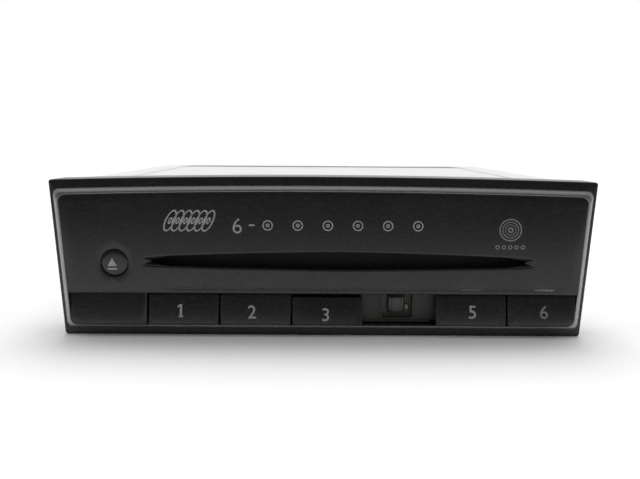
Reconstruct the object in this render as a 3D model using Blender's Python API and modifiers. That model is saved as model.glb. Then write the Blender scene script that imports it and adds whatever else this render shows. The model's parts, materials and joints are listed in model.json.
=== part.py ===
"""Dashboard disc changer: a face with a disc slot and a row of keys on a sheet chassis.

Metres, +Z up. X runs across the face, Y runs back from it, and Z = 0 is the surface that the
changer stands on. The origin is under the middle of the whole object.
"""

import math

import bmesh
import bpy
from mathutils import Matrix, Vector

# Chassis
CHASSIS_WIDTH = 0.178
CHASSIS_HEIGHT = 0.050
CHASSIS_DEPTH = 0.165
SHEET = 0.001
BEAD_DEPTH = 0.0018
BEAD_WIDTH = 0.009
BEAD_FROM_END = 0.0235
BEAD_FROM_SIDE = 0.037
BEAD_TAPER = 0.0009
SHEET_BEND = 0.0015
COVER_LIP = 0.009
COVER_RECESS = 0.0005
COVER_RECESS_MARGIN = 0.014
MOUNT_HOLE_RADIUS = 0.0025
MOUNT_HOLE_HEIGHT = 0.016
MOUNT_HOLE_SPACING = 0.060
MOUNT_HOLE_FROM_FRONT = 0.045
BOARD_TAB = 0.007
BOARD_TAB_LENGTH = 0.010
BOARD_TAB_FROM_REAR = 0.027
SCREW_HEAD_RADIUS = 0.0028
SCREW_HEAD_HEIGHT = 0.0013
SCREW_SHANK_RADIUS = 0.0013
SCREW_SHANK_LENGTH = 0.0029
SCREW_SLOT = 0.0008
SCREW_FROM_END = 0.022

# Face
FACE_SIDE_OVERHANG = 0.0025
FACE_TOP_OVERHANG = 0.0008
FACE_TAPER = 0.00375
FACE_CROWN = 0.0014
FACE_CORNER = 0.0009
FLANGE_THICKNESS = 0.0022
BEZEL_DEPTH = 0.014
BEZEL_WALL = 0.002

# Raised panel and trim
PANEL_RISE = 0.0024
PANEL_BULGE = 0.00115
KEY_BULGE = 0.0008
PANEL_WALL = 0.002
PANEL_CORNER = 0.0035
SIDE_MARGIN = 0.0012
TOP_MARGIN = 0.0028
BOTTOM_MARGIN = 0.0026
TRIM_RUN = 0.0021
TRIM_RUN_BOTTOM = 0.0014
TRIM_LAND = 0.0003

# Disc slot
SLOT_LEFT_MARGIN = 0.029
SLOT_RIGHT_MARGIN = 0.018
SLOT_DROP = 0.0003
SLOT_END_HEIGHT = 0.0033
SLOT_MIDDLE_HEIGHT = 0.0054
SLOT_RAMP = 0.0050
DISC_THICKNESS = 0.0012

# Keys
KEY_COUNT = 6
MISSING_KEY = 4
LOW_KEY = 3
LOW_KEY_DROP = 0.0009
KEY_ROW_LEFT_MARGIN = 0.02895
KEY_ROW_RIGHT_MARGIN = 0.00171
KEY_ROW_TOP = 0.0150
KEY_GAP = 0.0006
KEY_CORNER = 0.0004
KEY_WALL = 0.0012
KEY_FRONT_WALL = 0.0014
KEY_DEPTH = 0.0055
KEY_TRAVEL = 0.0008
KEY_LIP_THICKNESS = 0.0007
KEY_STEM = 0.0030
EJECT_FROM_SIDE = 0.0197
EJECT_DROP = 0.0004
EJECT_RADIUS = 0.00445
EJECT_DOME = 0.0003
EJECT_SLEEVE_WALL = 0.0012
EJECT_SLEEVE_LENGTH = 0.0040

# Indicator bars
BAR_WIDTH = 0.0066
BAR_HEIGHT = 0.0006
BAR_Z = 0.0167
GUIDE_BAR_HEIGHT = 0.0022
BAR_SETBACK = 0.0002
GUIDE_BAR_DEPTH = 0.0014

# Switches behind the keys
SWITCH_SIZE = 0.0060
SWITCH_HEIGHT = 0.0031
PLUNGER_RADIUS = 0.0015
PLUNGER_HEIGHT = 0.0007
BARE_PLUNGER_WIDTH = 0.0036
BARE_PLUNGER_RISE = 0.0052
KEY_BOARD_THICKNESS = 0.0016
KEY_BOARD_TOP = 0.0205
KEY_BOARD_REACH = 0.0020
KEY_GUIDE_THICKNESS = 0.0015
KEY_GUIDE_WINDOW_WIDTH = 0.0104
KEY_GUIDE_WINDOW_HEIGHT = 0.0082
KEY_GUIDE_TOP = 0.0198
KEY_GUIDE_FOOT = 0.0046

# Bezel fixings
HOOK_FROM_SIDE = 0.039
HOOK_WIDTH = 0.008
HOOK_THICKNESS = 0.0016
HOOK_REACH = 0.0019
HOOK_BARB = 0.0009
HOOK_ROOT = 0.0022
HOOK_SET_IN = 0.0008
BOSS_FROM_SIDE = 0.010
BOSS_FROM_TOP = 0.0118
BOSS_RADIUS = 0.0030
BOSS_HOLE_RADIUS = 0.0012
FRONT_WINDOW_HEIGHT = 0.0132

# Dust flap
FLAP_HEIGHT = 0.0086
FLAP_THICKNESS = 0.0009
FLAP_BARREL_RADIUS = 0.0010
FLAP_PIN_LENGTH = 0.0018
FLAP_AXIS_RISE = 0.0056
FLAP_EAR_WALL = 0.0012

# Loading unit
ROLLER_SETBACK = 0.0105
ROLLER_END_RADIUS = 0.0048
ROLLER_MIDDLE_RADIUS = 0.0042
ROLLER_MARGIN = 0.0065
ROLLER_SHAFT_RADIUS = 0.0015
CHEEK_MARGIN = 0.0045
LOADING_FRAME_FRONT = 0.0070
LOADING_FRAME_REAR = 0.0095
LOADING_FRAME_RISE = 0.0079
CHEEK_CORNER = 0.004
GUIDE_THICKNESS = 0.0020
GUIDE_DEPTH = 0.014
GUIDE_RIB_COUNT = 6
GUIDE_RIB = 0.0008
GEAR_WIDTH = 0.0026
ROLLER_TEETH = 16
IDLER_TEETH = 20
PINION_TEETH = 10
IDLER_DIRECTION = math.radians(-56)
PINION_DIRECTION = math.radians(190)
AXLE_RADIUS = 0.0012
LOADING_MOTOR_LENGTH = 0.018

# Mechanism deck and dampers
DECK_Z = 0.0050
DECK_SIDE_ROOM = 0.008
DECK_SETBACK = 0.0215
DECK_REAR_ROOM = 0.0045
DECK_CORNER = 0.006
DECK_WINDOW_FROM_SIDE = 0.0215
DECK_WINDOW_WIDTH = 0.012
DECK_WINDOW_FROM_END = 0.0345
DAMPER_RADIUS = 0.0050
DAMPER_NECK_RADIUS = 0.0036
DAMPER_INSET = 0.008

# Disc trays and lift
TRAY_COUNT = 6
TRAY_THICKNESS = 0.0010
TRAY_SIDE_MARGIN = 0.0045
TRAY_END_ROOM = 0.0205
TRAY_RIM = 0.008
TRAY_CORNER = 0.008
POST_RADIUS = 0.0020
POST_HEADROOM = 0.0025
POST_FROM_BOARD = 0.0060
FRONT_POST_FROM_SIDE = 0.006
FRONT_POST_FROM_TRAVERSE = 0.009
REAR_POST_FROM_SIDE = 0.008
REAR_POST_FROM_END = 0.012

# Player under the trays
TRAVERSE_FROM_DECK_SIDE = 0.0085
TRAVERSE_WIDTH = 0.062
TRAVERSE_CORNER = 0.005
TRAVERSE_LEAD = 0.016
SLED_WINDOW_FROM_ROD_END = 0.003
SLED_WINDOW_WIDTH = 0.030
ROD_RADIUS = 0.0013
ROD_SPACING = 0.040
ROD_HEIGHT = 0.0027
ROD_START = 0.012
ROD_FROM_TRAVERSE_END = 0.010
HOLDER_WIDTH = 0.0060
HOLDER_THICKNESS = 0.0040
HOLDER_HEIGHT = 0.0046
SCREW_OFFSET = 0.0270
LEAD_SCREW_RADIUS = 0.0011
SLED_MOTOR_RADIUS = 0.0024
SLED_MOTOR_LENGTH = 0.014
SLED_LENGTH = 0.014
SLED_HEIGHT = 0.0042
SLED_START = 0.0245
SLED_BORE_GAP = 0.0004
SLED_NUT_WIDTH = 0.0044
LENS_RADIUS = 0.0026
LENS_HEIGHT = 0.0004
SPINDLE_MOTOR_RADIUS = 0.0095
SPINDLE_MOTOR_HEIGHT = 0.0024
SPINDLE_RADIUS = 0.0010
TURNTABLE_RADIUS = 0.0140
TURNTABLE_THICKNESS = 0.0010
TURNTABLE_HUB_RADIUS = 0.0072
TURNTABLE_HUB_HEIGHT = 0.0012

# Main board and rear
BOARD_FROM_TOP = 0.0073
BOARD_THICKNESS = 0.0016
BOARD_SETBACK = 0.0270
CONNECTOR_FROM_SIDE = 0.056
CONNECTOR_WIDTH = 0.034
CONNECTOR_HEIGHT = 0.0132
CONNECTOR_DEPTH = 0.0155
CONNECTOR_PROUD = 0.003
CONNECTOR_WALL = 0.0014
CONNECTOR_PINS = 8
PIN_SIZE = 0.0009
PIN_LENGTH = 0.006
SOCKET_DEPTH = 0.0102
PIN_PITCH = 0.0036
HEAT_SINK_FROM_SIDE = 0.049
HEAT_SINK_WIDTH = 0.038
HEAT_SINK_HEIGHT = 0.0180
HEAT_SINK_DEPTH = 0.0110
HEAT_SINK_BACK = 0.0030
HEAT_SINK_FINS = 7
FIN_THICKNESS = 0.0016
CAPACITOR_COUNT = 2
CAPACITOR_RADIUS = 0.0050
CAPACITOR_HEIGHT = 0.0120
CAPACITOR_FROM_SIDE = 0.015
CAPACITOR_PITCH = 0.012
CAPACITOR_FROM_REAR = 0.010
REAR_VENT_COUNT = 6
REAR_VENT_WIDTH = 0.0025
REAR_VENT_HEIGHT = 0.012
REAR_VENT_PITCH = 0.0065

# Gaps and rounding
FIT = 0.0003
OVERRUN = 0.001
EMBED = 0.0004
WELD = 0.00001
SCREW_MERGE = 0.00005
SHADE_ANGLE = math.radians(35)
BEVEL_ANGLE = math.radians(40)
FLAT_ANGLE = math.radians(0.05)

# How finely round stretches are divided
CORNER_STEPS = 4
BEND_STEPS = 2
CROWN_STEPS = 10
BULGE_STEPS = 8
KEY_BULGE_STEPS = 4
SLOT_STEPS = 10
ROUND_STEPS = 20
SMALL_STEPS = 12
RING_STEPS = 24
POST_STEPS = 8

# Shares of other sizes
SCREW_FLAT_SHARE = 2 / 3
SCREW_EDGE_SHARE = 1 / 3
DAMPER_NECK_SHARE = 1 / 6
TOOTH_TIP_SHARE = 0.24
TOOTH_ROOT_SHARE = 0.62
ADDENDUM_SHARE = 0.9
DEDENDUM_SHARE = 1.25

# Sizes and places worked out from the sizes above
CHASSIS_TOP_Z = BEAD_DEPTH + CHASSIS_HEIGHT
FACE_TOP_WIDTH = CHASSIS_WIDTH + 2 * FACE_SIDE_OVERHANG
FACE_BOTTOM_WIDTH = FACE_TOP_WIDTH - 2 * FACE_TAPER
FACE_HEIGHT = CHASSIS_TOP_Z + FACE_TOP_OVERHANG
OVERALL_DEPTH = PANEL_BULGE + PANEL_RISE + BEZEL_DEPTH + FIT + CHASSIS_DEPTH + CONNECTOR_PROUD
FRONT_Y = -OVERALL_DEPTH / 2
PANEL_Y = FRONT_Y + PANEL_BULGE
BAR_FRONT_Y = FRONT_Y + BAR_SETBACK
FLANGE_Y = PANEL_Y + PANEL_RISE
FLANGE_BACK_Y = FLANGE_Y + FLANGE_THICKNESS
BEZEL_BACK_Y = FLANGE_Y + BEZEL_DEPTH
CHASSIS_FRONT_Y = BEZEL_BACK_Y + FIT
CHASSIS_REAR_Y = CHASSIS_FRONT_Y + CHASSIS_DEPTH
CHASSIS_MIDDLE_Y = (CHASSIS_FRONT_Y + CHASSIS_REAR_Y) / 2
BEAD_LENGTH = CHASSIS_DEPTH - 2 * BEAD_FROM_END
BEAD_SPACING = CHASSIS_WIDTH - 2 * BEAD_FROM_SIDE
FLOOR_Z = BEAD_DEPTH + SHEET
TRAY_OUTER_WIDTH = CHASSIS_WIDTH - 2 * (SHEET + FIT)
TRAY_INNER_WIDTH = TRAY_OUTER_WIDTH - 2 * SHEET
SIDE_TOP_Z = CHASSIS_TOP_Z - SHEET - FIT
HOOK_X = CHASSIS_WIDTH / 2 - HOOK_FROM_SIDE
BOSS_X = CHASSIS_WIDTH / 2 - BOSS_FROM_SIDE
BOSS_Z = CHASSIS_TOP_Z - BOSS_FROM_TOP
PANEL_SIDE = SIDE_MARGIN + TRIM_RUN
PANEL_BOTTOM = BOTTOM_MARGIN + TRIM_RUN_BOTTOM
PANEL_TOP = TOP_MARGIN + TRIM_RUN
SLOT_WIDTH = CHASSIS_WIDTH - SLOT_LEFT_MARGIN - SLOT_RIGHT_MARGIN
SLOT_X = (SLOT_LEFT_MARGIN - SLOT_RIGHT_MARGIN) / 2
SLOT_Z = CHASSIS_TOP_Z / 2 - SLOT_DROP
EJECT_X = EJECT_FROM_SIDE - CHASSIS_WIDTH / 2
EJECT_Z = SLOT_Z - EJECT_DROP
FLAP_AXIS_Z = SLOT_Z + FLAP_AXIS_RISE
KEY_ROW_LEFT = KEY_ROW_LEFT_MARGIN - FACE_BOTTOM_WIDTH / 2
KEY_ROW_RIGHT = FACE_BOTTOM_WIDTH / 2 - KEY_ROW_RIGHT_MARGIN
KEY_PITCH = (KEY_ROW_RIGHT - KEY_ROW_LEFT) / KEY_COUNT
KEY_BOTTOM_Z = PANEL_BOTTOM + FIT
KEY_TOP_Z = KEY_ROW_TOP - FIT
KEY_MIDDLE_Z = (KEY_BOTTOM_Z + KEY_TOP_Z) / 2
KEY_FRONT_Y = PANEL_Y - KEY_BULGE
KEY_BACK_Y = PANEL_Y + KEY_DEPTH
KEY_GUIDE_Y = KEY_BACK_Y + KEY_TRAVEL + FIT
SWITCH_Y = KEY_GUIDE_Y + KEY_GUIDE_THICKNESS + FIT
KEY_BOARD_Y = SWITCH_Y + PLUNGER_HEIGHT + SWITCH_HEIGHT
STEM_END_Y = SWITCH_Y - KEY_TRAVEL - FIT
DISC_Z = SLOT_Z - DISC_THICKNESS / 2
ROLLER_LENGTH = SLOT_WIDTH - 2 * ROLLER_MARGIN
ROLLER_Y = CHASSIS_FRONT_Y + ROLLER_SETBACK
ROLLER_Z = DISC_Z - ROLLER_END_RADIUS - FIT
CHEEK_SPACING = SLOT_WIDTH + 2 * CHEEK_MARGIN
LOADING_FRAME_TOP = SLOT_Z + LOADING_FRAME_RISE
LOADING_FLOOR_Z = FLOOR_Z + FIT + SHEET
DISC_CENTRE_Y = CHASSIS_MIDDLE_Y
DECK_WIDTH = CHASSIS_WIDTH - 2 * DECK_SIDE_ROOM
DECK_LENGTH = CHASSIS_DEPTH - DECK_SETBACK - DECK_REAR_ROOM
DECK_TOP_Z = DECK_Z + SHEET
DECK_FRONT_Y = CHASSIS_FRONT_Y + DECK_SETBACK
DECK_MIDDLE_Y = DECK_FRONT_Y + DECK_LENGTH / 2
DECK_WINDOW_X = DECK_WIDTH / 2 - DECK_WINDOW_FROM_SIDE
DECK_WINDOW_LENGTH = DECK_LENGTH - 2 * DECK_WINDOW_FROM_END
TRAVERSE_LENGTH = SLOT_X + TRAVERSE_LEAD + DECK_WIDTH / 2 - TRAVERSE_FROM_DECK_SIDE
TRAVERSE_Z = DECK_TOP_Z + FIT
TRAVERSE_TOP_Z = TRAVERSE_Z + SHEET
ROD_Z = TRAVERSE_TOP_Z + ROD_HEIGHT
ROD_LENGTH = TRAVERSE_LENGTH - TRAVERSE_LEAD - ROD_FROM_TRAVERSE_END - ROD_START
SLED_WINDOW_LENGTH = ROD_LENGTH - 2 * SLED_WINDOW_FROM_ROD_END
BOARD_Z = CHASSIS_TOP_Z - BOARD_FROM_TOP
BOARD_FRONT_Y = CHASSIS_FRONT_Y + BOARD_SETBACK
REAR_PLATE_Y = CHASSIS_REAR_Y - SHEET
BOARD_REAR_Y = REAR_PLATE_Y - FIT
CONNECTOR_X = CONNECTOR_FROM_SIDE - CHASSIS_WIDTH / 2
HEAT_SINK_X = CHASSIS_WIDTH / 2 - HEAT_SINK_FROM_SIDE
CAPACITOR_X = CAPACITOR_FROM_SIDE - CHASSIS_WIDTH / 2
TRAY_WIDTH = SLOT_WIDTH + 2 * TRAY_SIDE_MARGIN
TRAY_LENGTH = CHASSIS_DEPTH - 2 * TRAY_END_ROOM
TRAY_HOLE_RADIUS = min(TRAY_WIDTH, TRAY_LENGTH) / 2 - TRAY_RIM
POST_TOP = BOARD_Z - POST_FROM_BOARD
TRAY_LIFT = POST_TOP - POST_HEADROOM - DISC_Z
TRAY_PITCH = TRAY_LIFT / (TRAY_COUNT - 1)
FRONT_POST_X = TRAY_WIDTH / 2 - FRONT_POST_FROM_SIDE
FRONT_POST_Y = TRAVERSE_WIDTH / 2 + FRONT_POST_FROM_TRAVERSE
REAR_POST_X = TRAY_WIDTH / 2 - REAR_POST_FROM_SIDE
REAR_POST_Y = TRAY_LENGTH / 2 - REAR_POST_FROM_END

PARTS = None
CUTTERS = None


def clear_scene():
    for item in list(bpy.data.objects):
        bpy.data.objects.remove(item, do_unlink=True)


def make_collection(name):
    collection = bpy.data.collections.new(name)
    bpy.context.scene.collection.children.link(collection)
    return collection


# Building blocks


def add_mesh(name, mesh, location=(0, 0, 0), rotation=(0, 0, 0)):
    item = bpy.data.objects.new(name, mesh)
    PARTS.objects.link(item)
    item.location = location
    item.rotation_euler = rotation
    return item


def add_bmesh(name, shape, location=(0, 0, 0), rotation=(0, 0, 0)):
    mesh = bpy.data.meshes.new(name)
    shape.to_mesh(mesh)
    shape.free()
    return add_mesh(name, mesh, location, rotation)


def block(name, low, high):
    """A box between two corners, with its origin in its middle."""
    low, high = Vector(low), Vector(high)
    shape = bmesh.new()
    bmesh.ops.create_cube(shape, size=1, matrix=Matrix.Diagonal(high - low).to_4x4())
    return add_bmesh(name, shape, (low + high) / 2)


AXIS_ROTATION = {"X": (0, math.pi / 2, 0), "Y": (math.pi / 2, 0, 0), "Z": (0, 0, 0)}


def cylinder(name, centre, radius, length, axis, steps=ROUND_STEPS):
    """A cylinder along a world axis, with its origin in its middle."""
    shape = bmesh.new()
    bmesh.ops.create_cone(shape, cap_ends=True, segments=steps, radius1=radius, radius2=radius,
                          depth=length)
    item = add_bmesh(name, shape, centre, AXIS_ROTATION[axis])
    shade_round(item)
    return item


def shade_round(item):
    item.data.shade_smooth()
    item.data.set_sharp_from_angle(angle=SHADE_ANGLE)


def turned(name, profile, centre, axis, steps=ROUND_STEPS):
    """A turned shape from (radius, height) points that run down its outer side."""
    mesh = bpy.data.meshes.new(name)
    points = [(radius, 0, height) for radius, height in profile]
    mesh.from_pydata(points, [(i, i + 1) for i in range(len(points) - 1)], [])
    item = add_mesh(name, mesh, centre, AXIS_ROTATION[axis])
    screw = item.modifiers.new("turn", "SCREW")
    screw.angle = 2 * math.pi
    screw.steps = steps
    screw.render_steps = steps
    screw.use_merge_vertices = True
    screw.merge_threshold = SCREW_MERGE
    screw.use_smooth_shade = True
    return item


PLATE_ROTATION = {"X": (math.pi / 2, 0, math.pi / 2), "Y": (math.pi / 2, 0, 0), "Z": (0, 0, 0)}


def plate(name, outlines, axis, start, end, origin=(0, 0)):
    """A flat outline, with any holes, given thickness between two places along an axis.

    Along X the outline is (y, z), along Y it is (x, z), and along Z it is (x, y).
    """
    flat = bpy.data.curves.new(name + "_outline", "CURVE")
    flat.dimensions = "2D"
    flat.fill_mode = "BOTH"
    flat.extrude = (end - start) / 2
    flat.render_resolution_u = 0
    for outline in outlines:
        spline = flat.splines.new("POLY")
        spline.points.add(len(outline) - 1)
        for point, (u, v) in zip(spline.points, outline):
            point.co = (u - origin[0], v - origin[1], 0, 1)
        spline.use_cyclic_u = True
    curve = bpy.data.objects.new(name + "_outline", flat)
    PARTS.objects.link(curve)
    middle = (start + end) / 2
    u, v = origin
    curve.location = {"X": (middle, u, v), "Y": (u, middle, v), "Z": (u, v, middle)}[axis]
    curve.rotation_euler = PLATE_ROTATION[axis]
    bpy.context.view_layer.update()
    evaluated = curve.evaluated_get(bpy.context.evaluated_depsgraph_get())
    mesh = bpy.data.meshes.new_from_object(evaluated)
    shape = bmesh.new()
    shape.from_mesh(mesh)
    bmesh.ops.remove_doubles(shape, verts=shape.verts, dist=WELD)
    bmesh.ops.dissolve_limit(shape, angle_limit=FLAT_ANGLE, verts=shape.verts,
                             edges=shape.edges)
    bmesh.ops.recalc_face_normals(shape, faces=shape.faces)
    shape.to_mesh(mesh)
    shape.free()
    item = bpy.data.objects.new(name, mesh)
    PARTS.objects.link(item)
    item.matrix_world = curve.matrix_world
    bpy.data.objects.remove(curve)
    return item


def loft(name, rings):
    """A closed ring of material through outlines of as many points each."""
    shape = bmesh.new()
    rows = [[shape.verts.new(point) for point in ring] for ring in rings]
    count = len(rows[0])
    for row, following in zip(rows, rows[1:] + rows[:1]):
        for i in range(count):
            j = (i + 1) % count
            shape.faces.new((row[i], row[j], following[j], following[i]))
    bmesh.ops.recalc_face_normals(shape, faces=shape.faces)
    return add_bmesh(name, shape)


def combine(target, tool, operation):
    """Join, cut or intersect a piece with another solid, which moves to the cutters."""
    modifier = target.modifiers.new(tool.name, "BOOLEAN")
    modifier.operation = operation
    modifier.solver = "EXACT"
    modifier.object = tool
    tool.hide_render = True
    tool.display_type = "WIRE"
    if tool.name not in CUTTERS.objects:
        PARTS.objects.unlink(tool)
        CUTTERS.objects.link(tool)


def join(target, tool):
    combine(target, tool, "UNION")


def cut(target, tool):
    combine(target, tool, "DIFFERENCE")


def intersect(target, tool):
    combine(target, tool, "INTERSECT")


def soften(item, width, segments=1):
    bevel = item.modifiers.new("soften", "BEVEL")
    bevel.width = width
    bevel.segments = segments
    bevel.limit_method = "ANGLE"
    bevel.angle_limit = BEVEL_ANGLE


def move_origin(item, place):
    """Put a piece's origin on its joint's axis and leave its shape where it is."""
    bpy.context.view_layer.update()
    shift = item.matrix_world.inverted() @ Vector(place)
    item.data.transform(Matrix.Translation(-shift))
    item.location = place


def finish(item, colour, roughness, metallic=0.0):
    material = bpy.data.materials.new(item.name + "_material")
    material.use_nodes = True
    shader = material.node_tree.nodes["Principled BSDF"]
    shader.inputs["Base Color"].default_value = (*colour, 1)
    shader.inputs["Roughness"].default_value = roughness
    shader.inputs["Metallic"].default_value = metallic
    material.diffuse_color = (*colour, 1)
    item.data.materials.clear()
    item.data.materials.append(material)


BLACK_PLASTIC = ((0.018, 0.018, 0.017), 0.42)
DARK_PLASTIC = ((0.030, 0.030, 0.030), 0.60)
SMOKED_PLASTIC = ((0.300, 0.310, 0.300), 0.35)
IVORY_PLASTIC = ((0.620, 0.600, 0.520), 0.50)
GREY_PLASTIC = ((0.240, 0.240, 0.230), 0.50)
SILVER_TRIM = ((0.480, 0.480, 0.470), 0.28, 1.0)
ZINC_SHEET = ((0.720, 0.720, 0.700), 0.38, 1.0)
STEEL = ((0.560, 0.560, 0.570), 0.25, 1.0)
ALUMINIUM = ((0.700, 0.700, 0.710), 0.35, 1.0)
BOARD_GREEN = ((0.020, 0.120, 0.060), 0.45)
SOFT_RUBBER = ((0.035, 0.035, 0.035), 0.85)


# Outlines


def arc_corner(before, corner, after, radius, steps):
    """Points of the arc that rounds a corner between two straight stretches."""
    here = Vector(corner)
    back = (Vector(before) - here).normalized()
    ahead = (Vector(after) - here).normalized()
    half = back.angle(ahead) / 2
    middle = here + (back + ahead).normalized() * (radius / math.sin(half))
    start = here + back * (radius / math.tan(half)) - middle
    end = here + ahead * (radius / math.tan(half)) - middle
    sweep = start.angle_signed(end)
    first = math.atan2(start.y, start.x)
    points = []
    for i in range(steps + 1):
        angle = first - sweep * i / steps
        points.append((middle.x + radius * math.cos(angle), middle.y + radius * math.sin(angle)))
    return points


def rounded(corners, radii, steps=CORNER_STEPS):
    """A closed outline from corners, each with its own radius, which may be zero."""
    points = []
    count = len(corners)
    for i, (corner, radius) in enumerate(zip(corners, radii)):
        if radius > 0:
            before, after = corners[i - 1], corners[(i + 1) % count]
            points += arc_corner(before, corner, after, radius, steps)
        else:
            points.append(corner)
    return points


def rectangle(u0, v0, u1, v1, radius=0):
    corners = [(u0, v0), (u1, v0), (u1, v1), (u0, v1)]
    return rounded(corners, [radius] * len(corners))


def circle(u, v, radius, steps=SMALL_STEPS):
    turn = 2 * math.pi / steps
    return [(u + radius * math.cos(turn * i), v + radius * math.sin(turn * i))
            for i in range(steps)]


def face_half_width(height):
    share = height / FACE_HEIGHT
    return (FACE_BOTTOM_WIDTH + (FACE_TOP_WIDTH - FACE_BOTTOM_WIDTH) * share) / 2


def face_outline(side, bottom, top, radius):
    """The face's tapered outline with its crowned top edge, set in from each side."""
    low = bottom
    high = FACE_HEIGHT - top
    low_half = face_half_width(low) - side
    high_half = face_half_width(high) - side
    corners = [(-low_half, low), (low_half, low), (high_half, high)]
    radii = [radius, radius, radius]
    for i in range(1, CROWN_STEPS):
        across = 1 - 2 * i / CROWN_STEPS
        corners.append((high_half * across, high + FACE_CROWN * (1 - across * across)))
        radii.append(0)
    corners.append((-high_half, high))
    radii.append(radius)
    return rounded(corners, radii)


def apron_points(low, high, crest, steps):
    """Points up a face that stands forward by its crest at its foot and leans back above."""
    points = []
    for i in range(steps + 1):
        share = i / steps
        points.append((PANEL_Y - crest * (1 - share ** 2), low + (high - low) * share))
    return points


def key_edges(number):
    left = KEY_ROW_LEFT + KEY_PITCH * (number - 1)
    return left, left + KEY_PITCH


def key_middle(number):
    left, right = key_edges(number)
    return (left + right) / 2


def panel_half_width(height):
    return face_half_width(height) - PANEL_SIDE


# Front


def slot_outline():
    """The slot is taller in its middle than at its ends."""
    points = []
    for side in (-1, 1):
        for i in range(SLOT_STEPS + 1):
            across = side * (1 - 2 * i / SLOT_STEPS)
            half = (SLOT_MIDDLE_HEIGHT - (SLOT_MIDDLE_HEIGHT - SLOT_END_HEIGHT) * across ** 2) / 2
            points.append((SLOT_X + across * SLOT_WIDTH / 2, SLOT_Z + side * half))
    return points


def slot_cutter():
    """The slot's ends slope in from the face until the panel's wall is passed."""
    front, back = FRONT_Y - OVERRUN, FLANGE_BACK_Y + OVERRUN
    cutter = plate("slot_cutter", [slot_outline()], "Y", front, back)
    half = SLOT_WIDTH / 2
    clear = half - SLOT_RAMP
    inner_y = PANEL_Y + PANEL_WALL
    right = [(half, front), (half, FRONT_Y), (clear, inner_y), (clear, back)]
    left = [(-x, y) for x, y in reversed(right)]
    outline = [(SLOT_X + x, y) for x, y in right + left]
    wedge = plate("slot_wedge", [outline], "Z", SLOT_Z - SLOT_MIDDLE_HEIGHT,
                  SLOT_Z + SLOT_MIDDLE_HEIGHT)
    intersect(cutter, wedge)
    return cutter


def bezel_shell():
    outer = face_outline(0, 0, 0, FACE_CORNER)
    shell = plate("front_bezel", [outer], "Y", FLANGE_Y, BEZEL_BACK_Y)
    inner = face_outline(BEZEL_WALL, BEZEL_WALL, BEZEL_WALL, FACE_CORNER)
    cavity = plate("bezel_cavity", [inner], "Y", FLANGE_BACK_Y, BEZEL_BACK_Y + OVERRUN)
    cut(shell, cavity)
    return shell


def bezel_panel():
    """Two faces that lean back, the upper one standing over the head of the key row."""
    top = FACE_HEIGHT - PANEL_TOP + FACE_CROWN
    profile = apron_points(PANEL_BOTTOM - OVERRUN, KEY_ROW_TOP, KEY_BULGE, KEY_BULGE_STEPS)
    profile += apron_points(KEY_ROW_TOP, top + OVERRUN, PANEL_BULGE, BULGE_STEPS)
    profile += [(FLANGE_Y + EMBED, top + OVERRUN), (FLANGE_Y + EMBED, PANEL_BOTTOM - OVERRUN)]
    half = FACE_TOP_WIDTH / 2
    panel = plate("bezel_panel", [profile], "X", -half, half)
    outline = face_outline(PANEL_SIDE, PANEL_BOTTOM, PANEL_TOP, PANEL_CORNER)
    trimmer = plate("panel_outline", [outline], "Y", FRONT_Y - OVERRUN, FLANGE_BACK_Y)
    intersect(panel, trimmer)
    return panel


def key_row_cutter():
    low, high = PANEL_BOTTOM - FIT, KEY_ROW_TOP
    corners = [(KEY_ROW_LEFT, low), (panel_half_width(low) + FIT, low),
               (panel_half_width(high) + FIT, high), (KEY_ROW_LEFT, high)]
    outline = rounded(corners, [0, PANEL_CORNER, 0, 0])
    return plate("key_row_cutter", [outline], "Y", FRONT_Y - OVERRUN, FLANGE_BACK_Y + OVERRUN)


def panel_pocket():
    """The moulding is hollow behind the upper panel, with a wall round the slot and hole."""
    inset = PANEL_SIDE + PANEL_WALL
    low = KEY_ROW_TOP + BAR_HEIGHT
    outline = face_outline(inset, low + GUIDE_BAR_HEIGHT, PANEL_TOP + PANEL_WALL, PANEL_CORNER)
    return plate("panel_pocket", [outline], "Y", PANEL_Y + PANEL_WALL, FLANGE_BACK_Y + OVERRUN)


def bezel_hook(name, x, rim_z, arm_z, inward):
    """A snap hook on the bezel's rim that reaches through the chassis front."""
    barb_y = CHASSIS_FRONT_Y + SHEET + FIT
    end = barb_y + HOOK_REACH
    root = BEZEL_BACK_Y - HOOK_ROOT
    near = arm_z + inward * HOOK_SET_IN
    far = near + inward * HOOK_THICKNESS
    tip = near + inward * HOOK_THICKNESS / 2
    held = rim_z - inward * BEZEL_WALL / 2
    profile = [(root, held), (BEZEL_BACK_Y - FIT, held), (BEZEL_BACK_Y - FIT, near),
               (end, near), (end, tip), (barb_y, far + inward * HOOK_BARB), (barb_y, far),
               (root, far)]
    return plate(name, [profile], "X", x - HOOK_WIDTH / 2, x + HOOK_WIDTH / 2)


def add_hooks(bezel):
    for i, x in enumerate((-HOOK_X, HOOK_X)):
        crown = FACE_CROWN * (1 - (x / face_half_width(FACE_HEIGHT)) ** 2)
        top = FACE_HEIGHT - BEZEL_WALL + crown
        join(bezel, bezel_hook(f"hook_top_{i + 1}", x, top, SIDE_TOP_Z, -1))
        join(bezel, bezel_hook(f"hook_bottom_{i + 1}", x, BEZEL_WALL, FLOOR_Z, 1))


def add_bosses(bezel):
    start = PANEL_Y + PANEL_WALL - EMBED
    middle = (start + BEZEL_BACK_Y) / 2
    length = BEZEL_BACK_Y - start
    for i, x in enumerate((-BOSS_X, BOSS_X)):
        boss = cylinder(f"bezel_boss_{i + 1}", (x, middle, BOSS_Z), BOSS_RADIUS, length, "Y",
                        SMALL_STEPS)
        join(bezel, boss)
        hole = cylinder(f"boss_hole_{i + 1}", (x, BEZEL_BACK_Y, BOSS_Z), BOSS_HOLE_RADIUS,
                        length, "Y", SMALL_STEPS)
        cut(bezel, hole)


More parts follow.
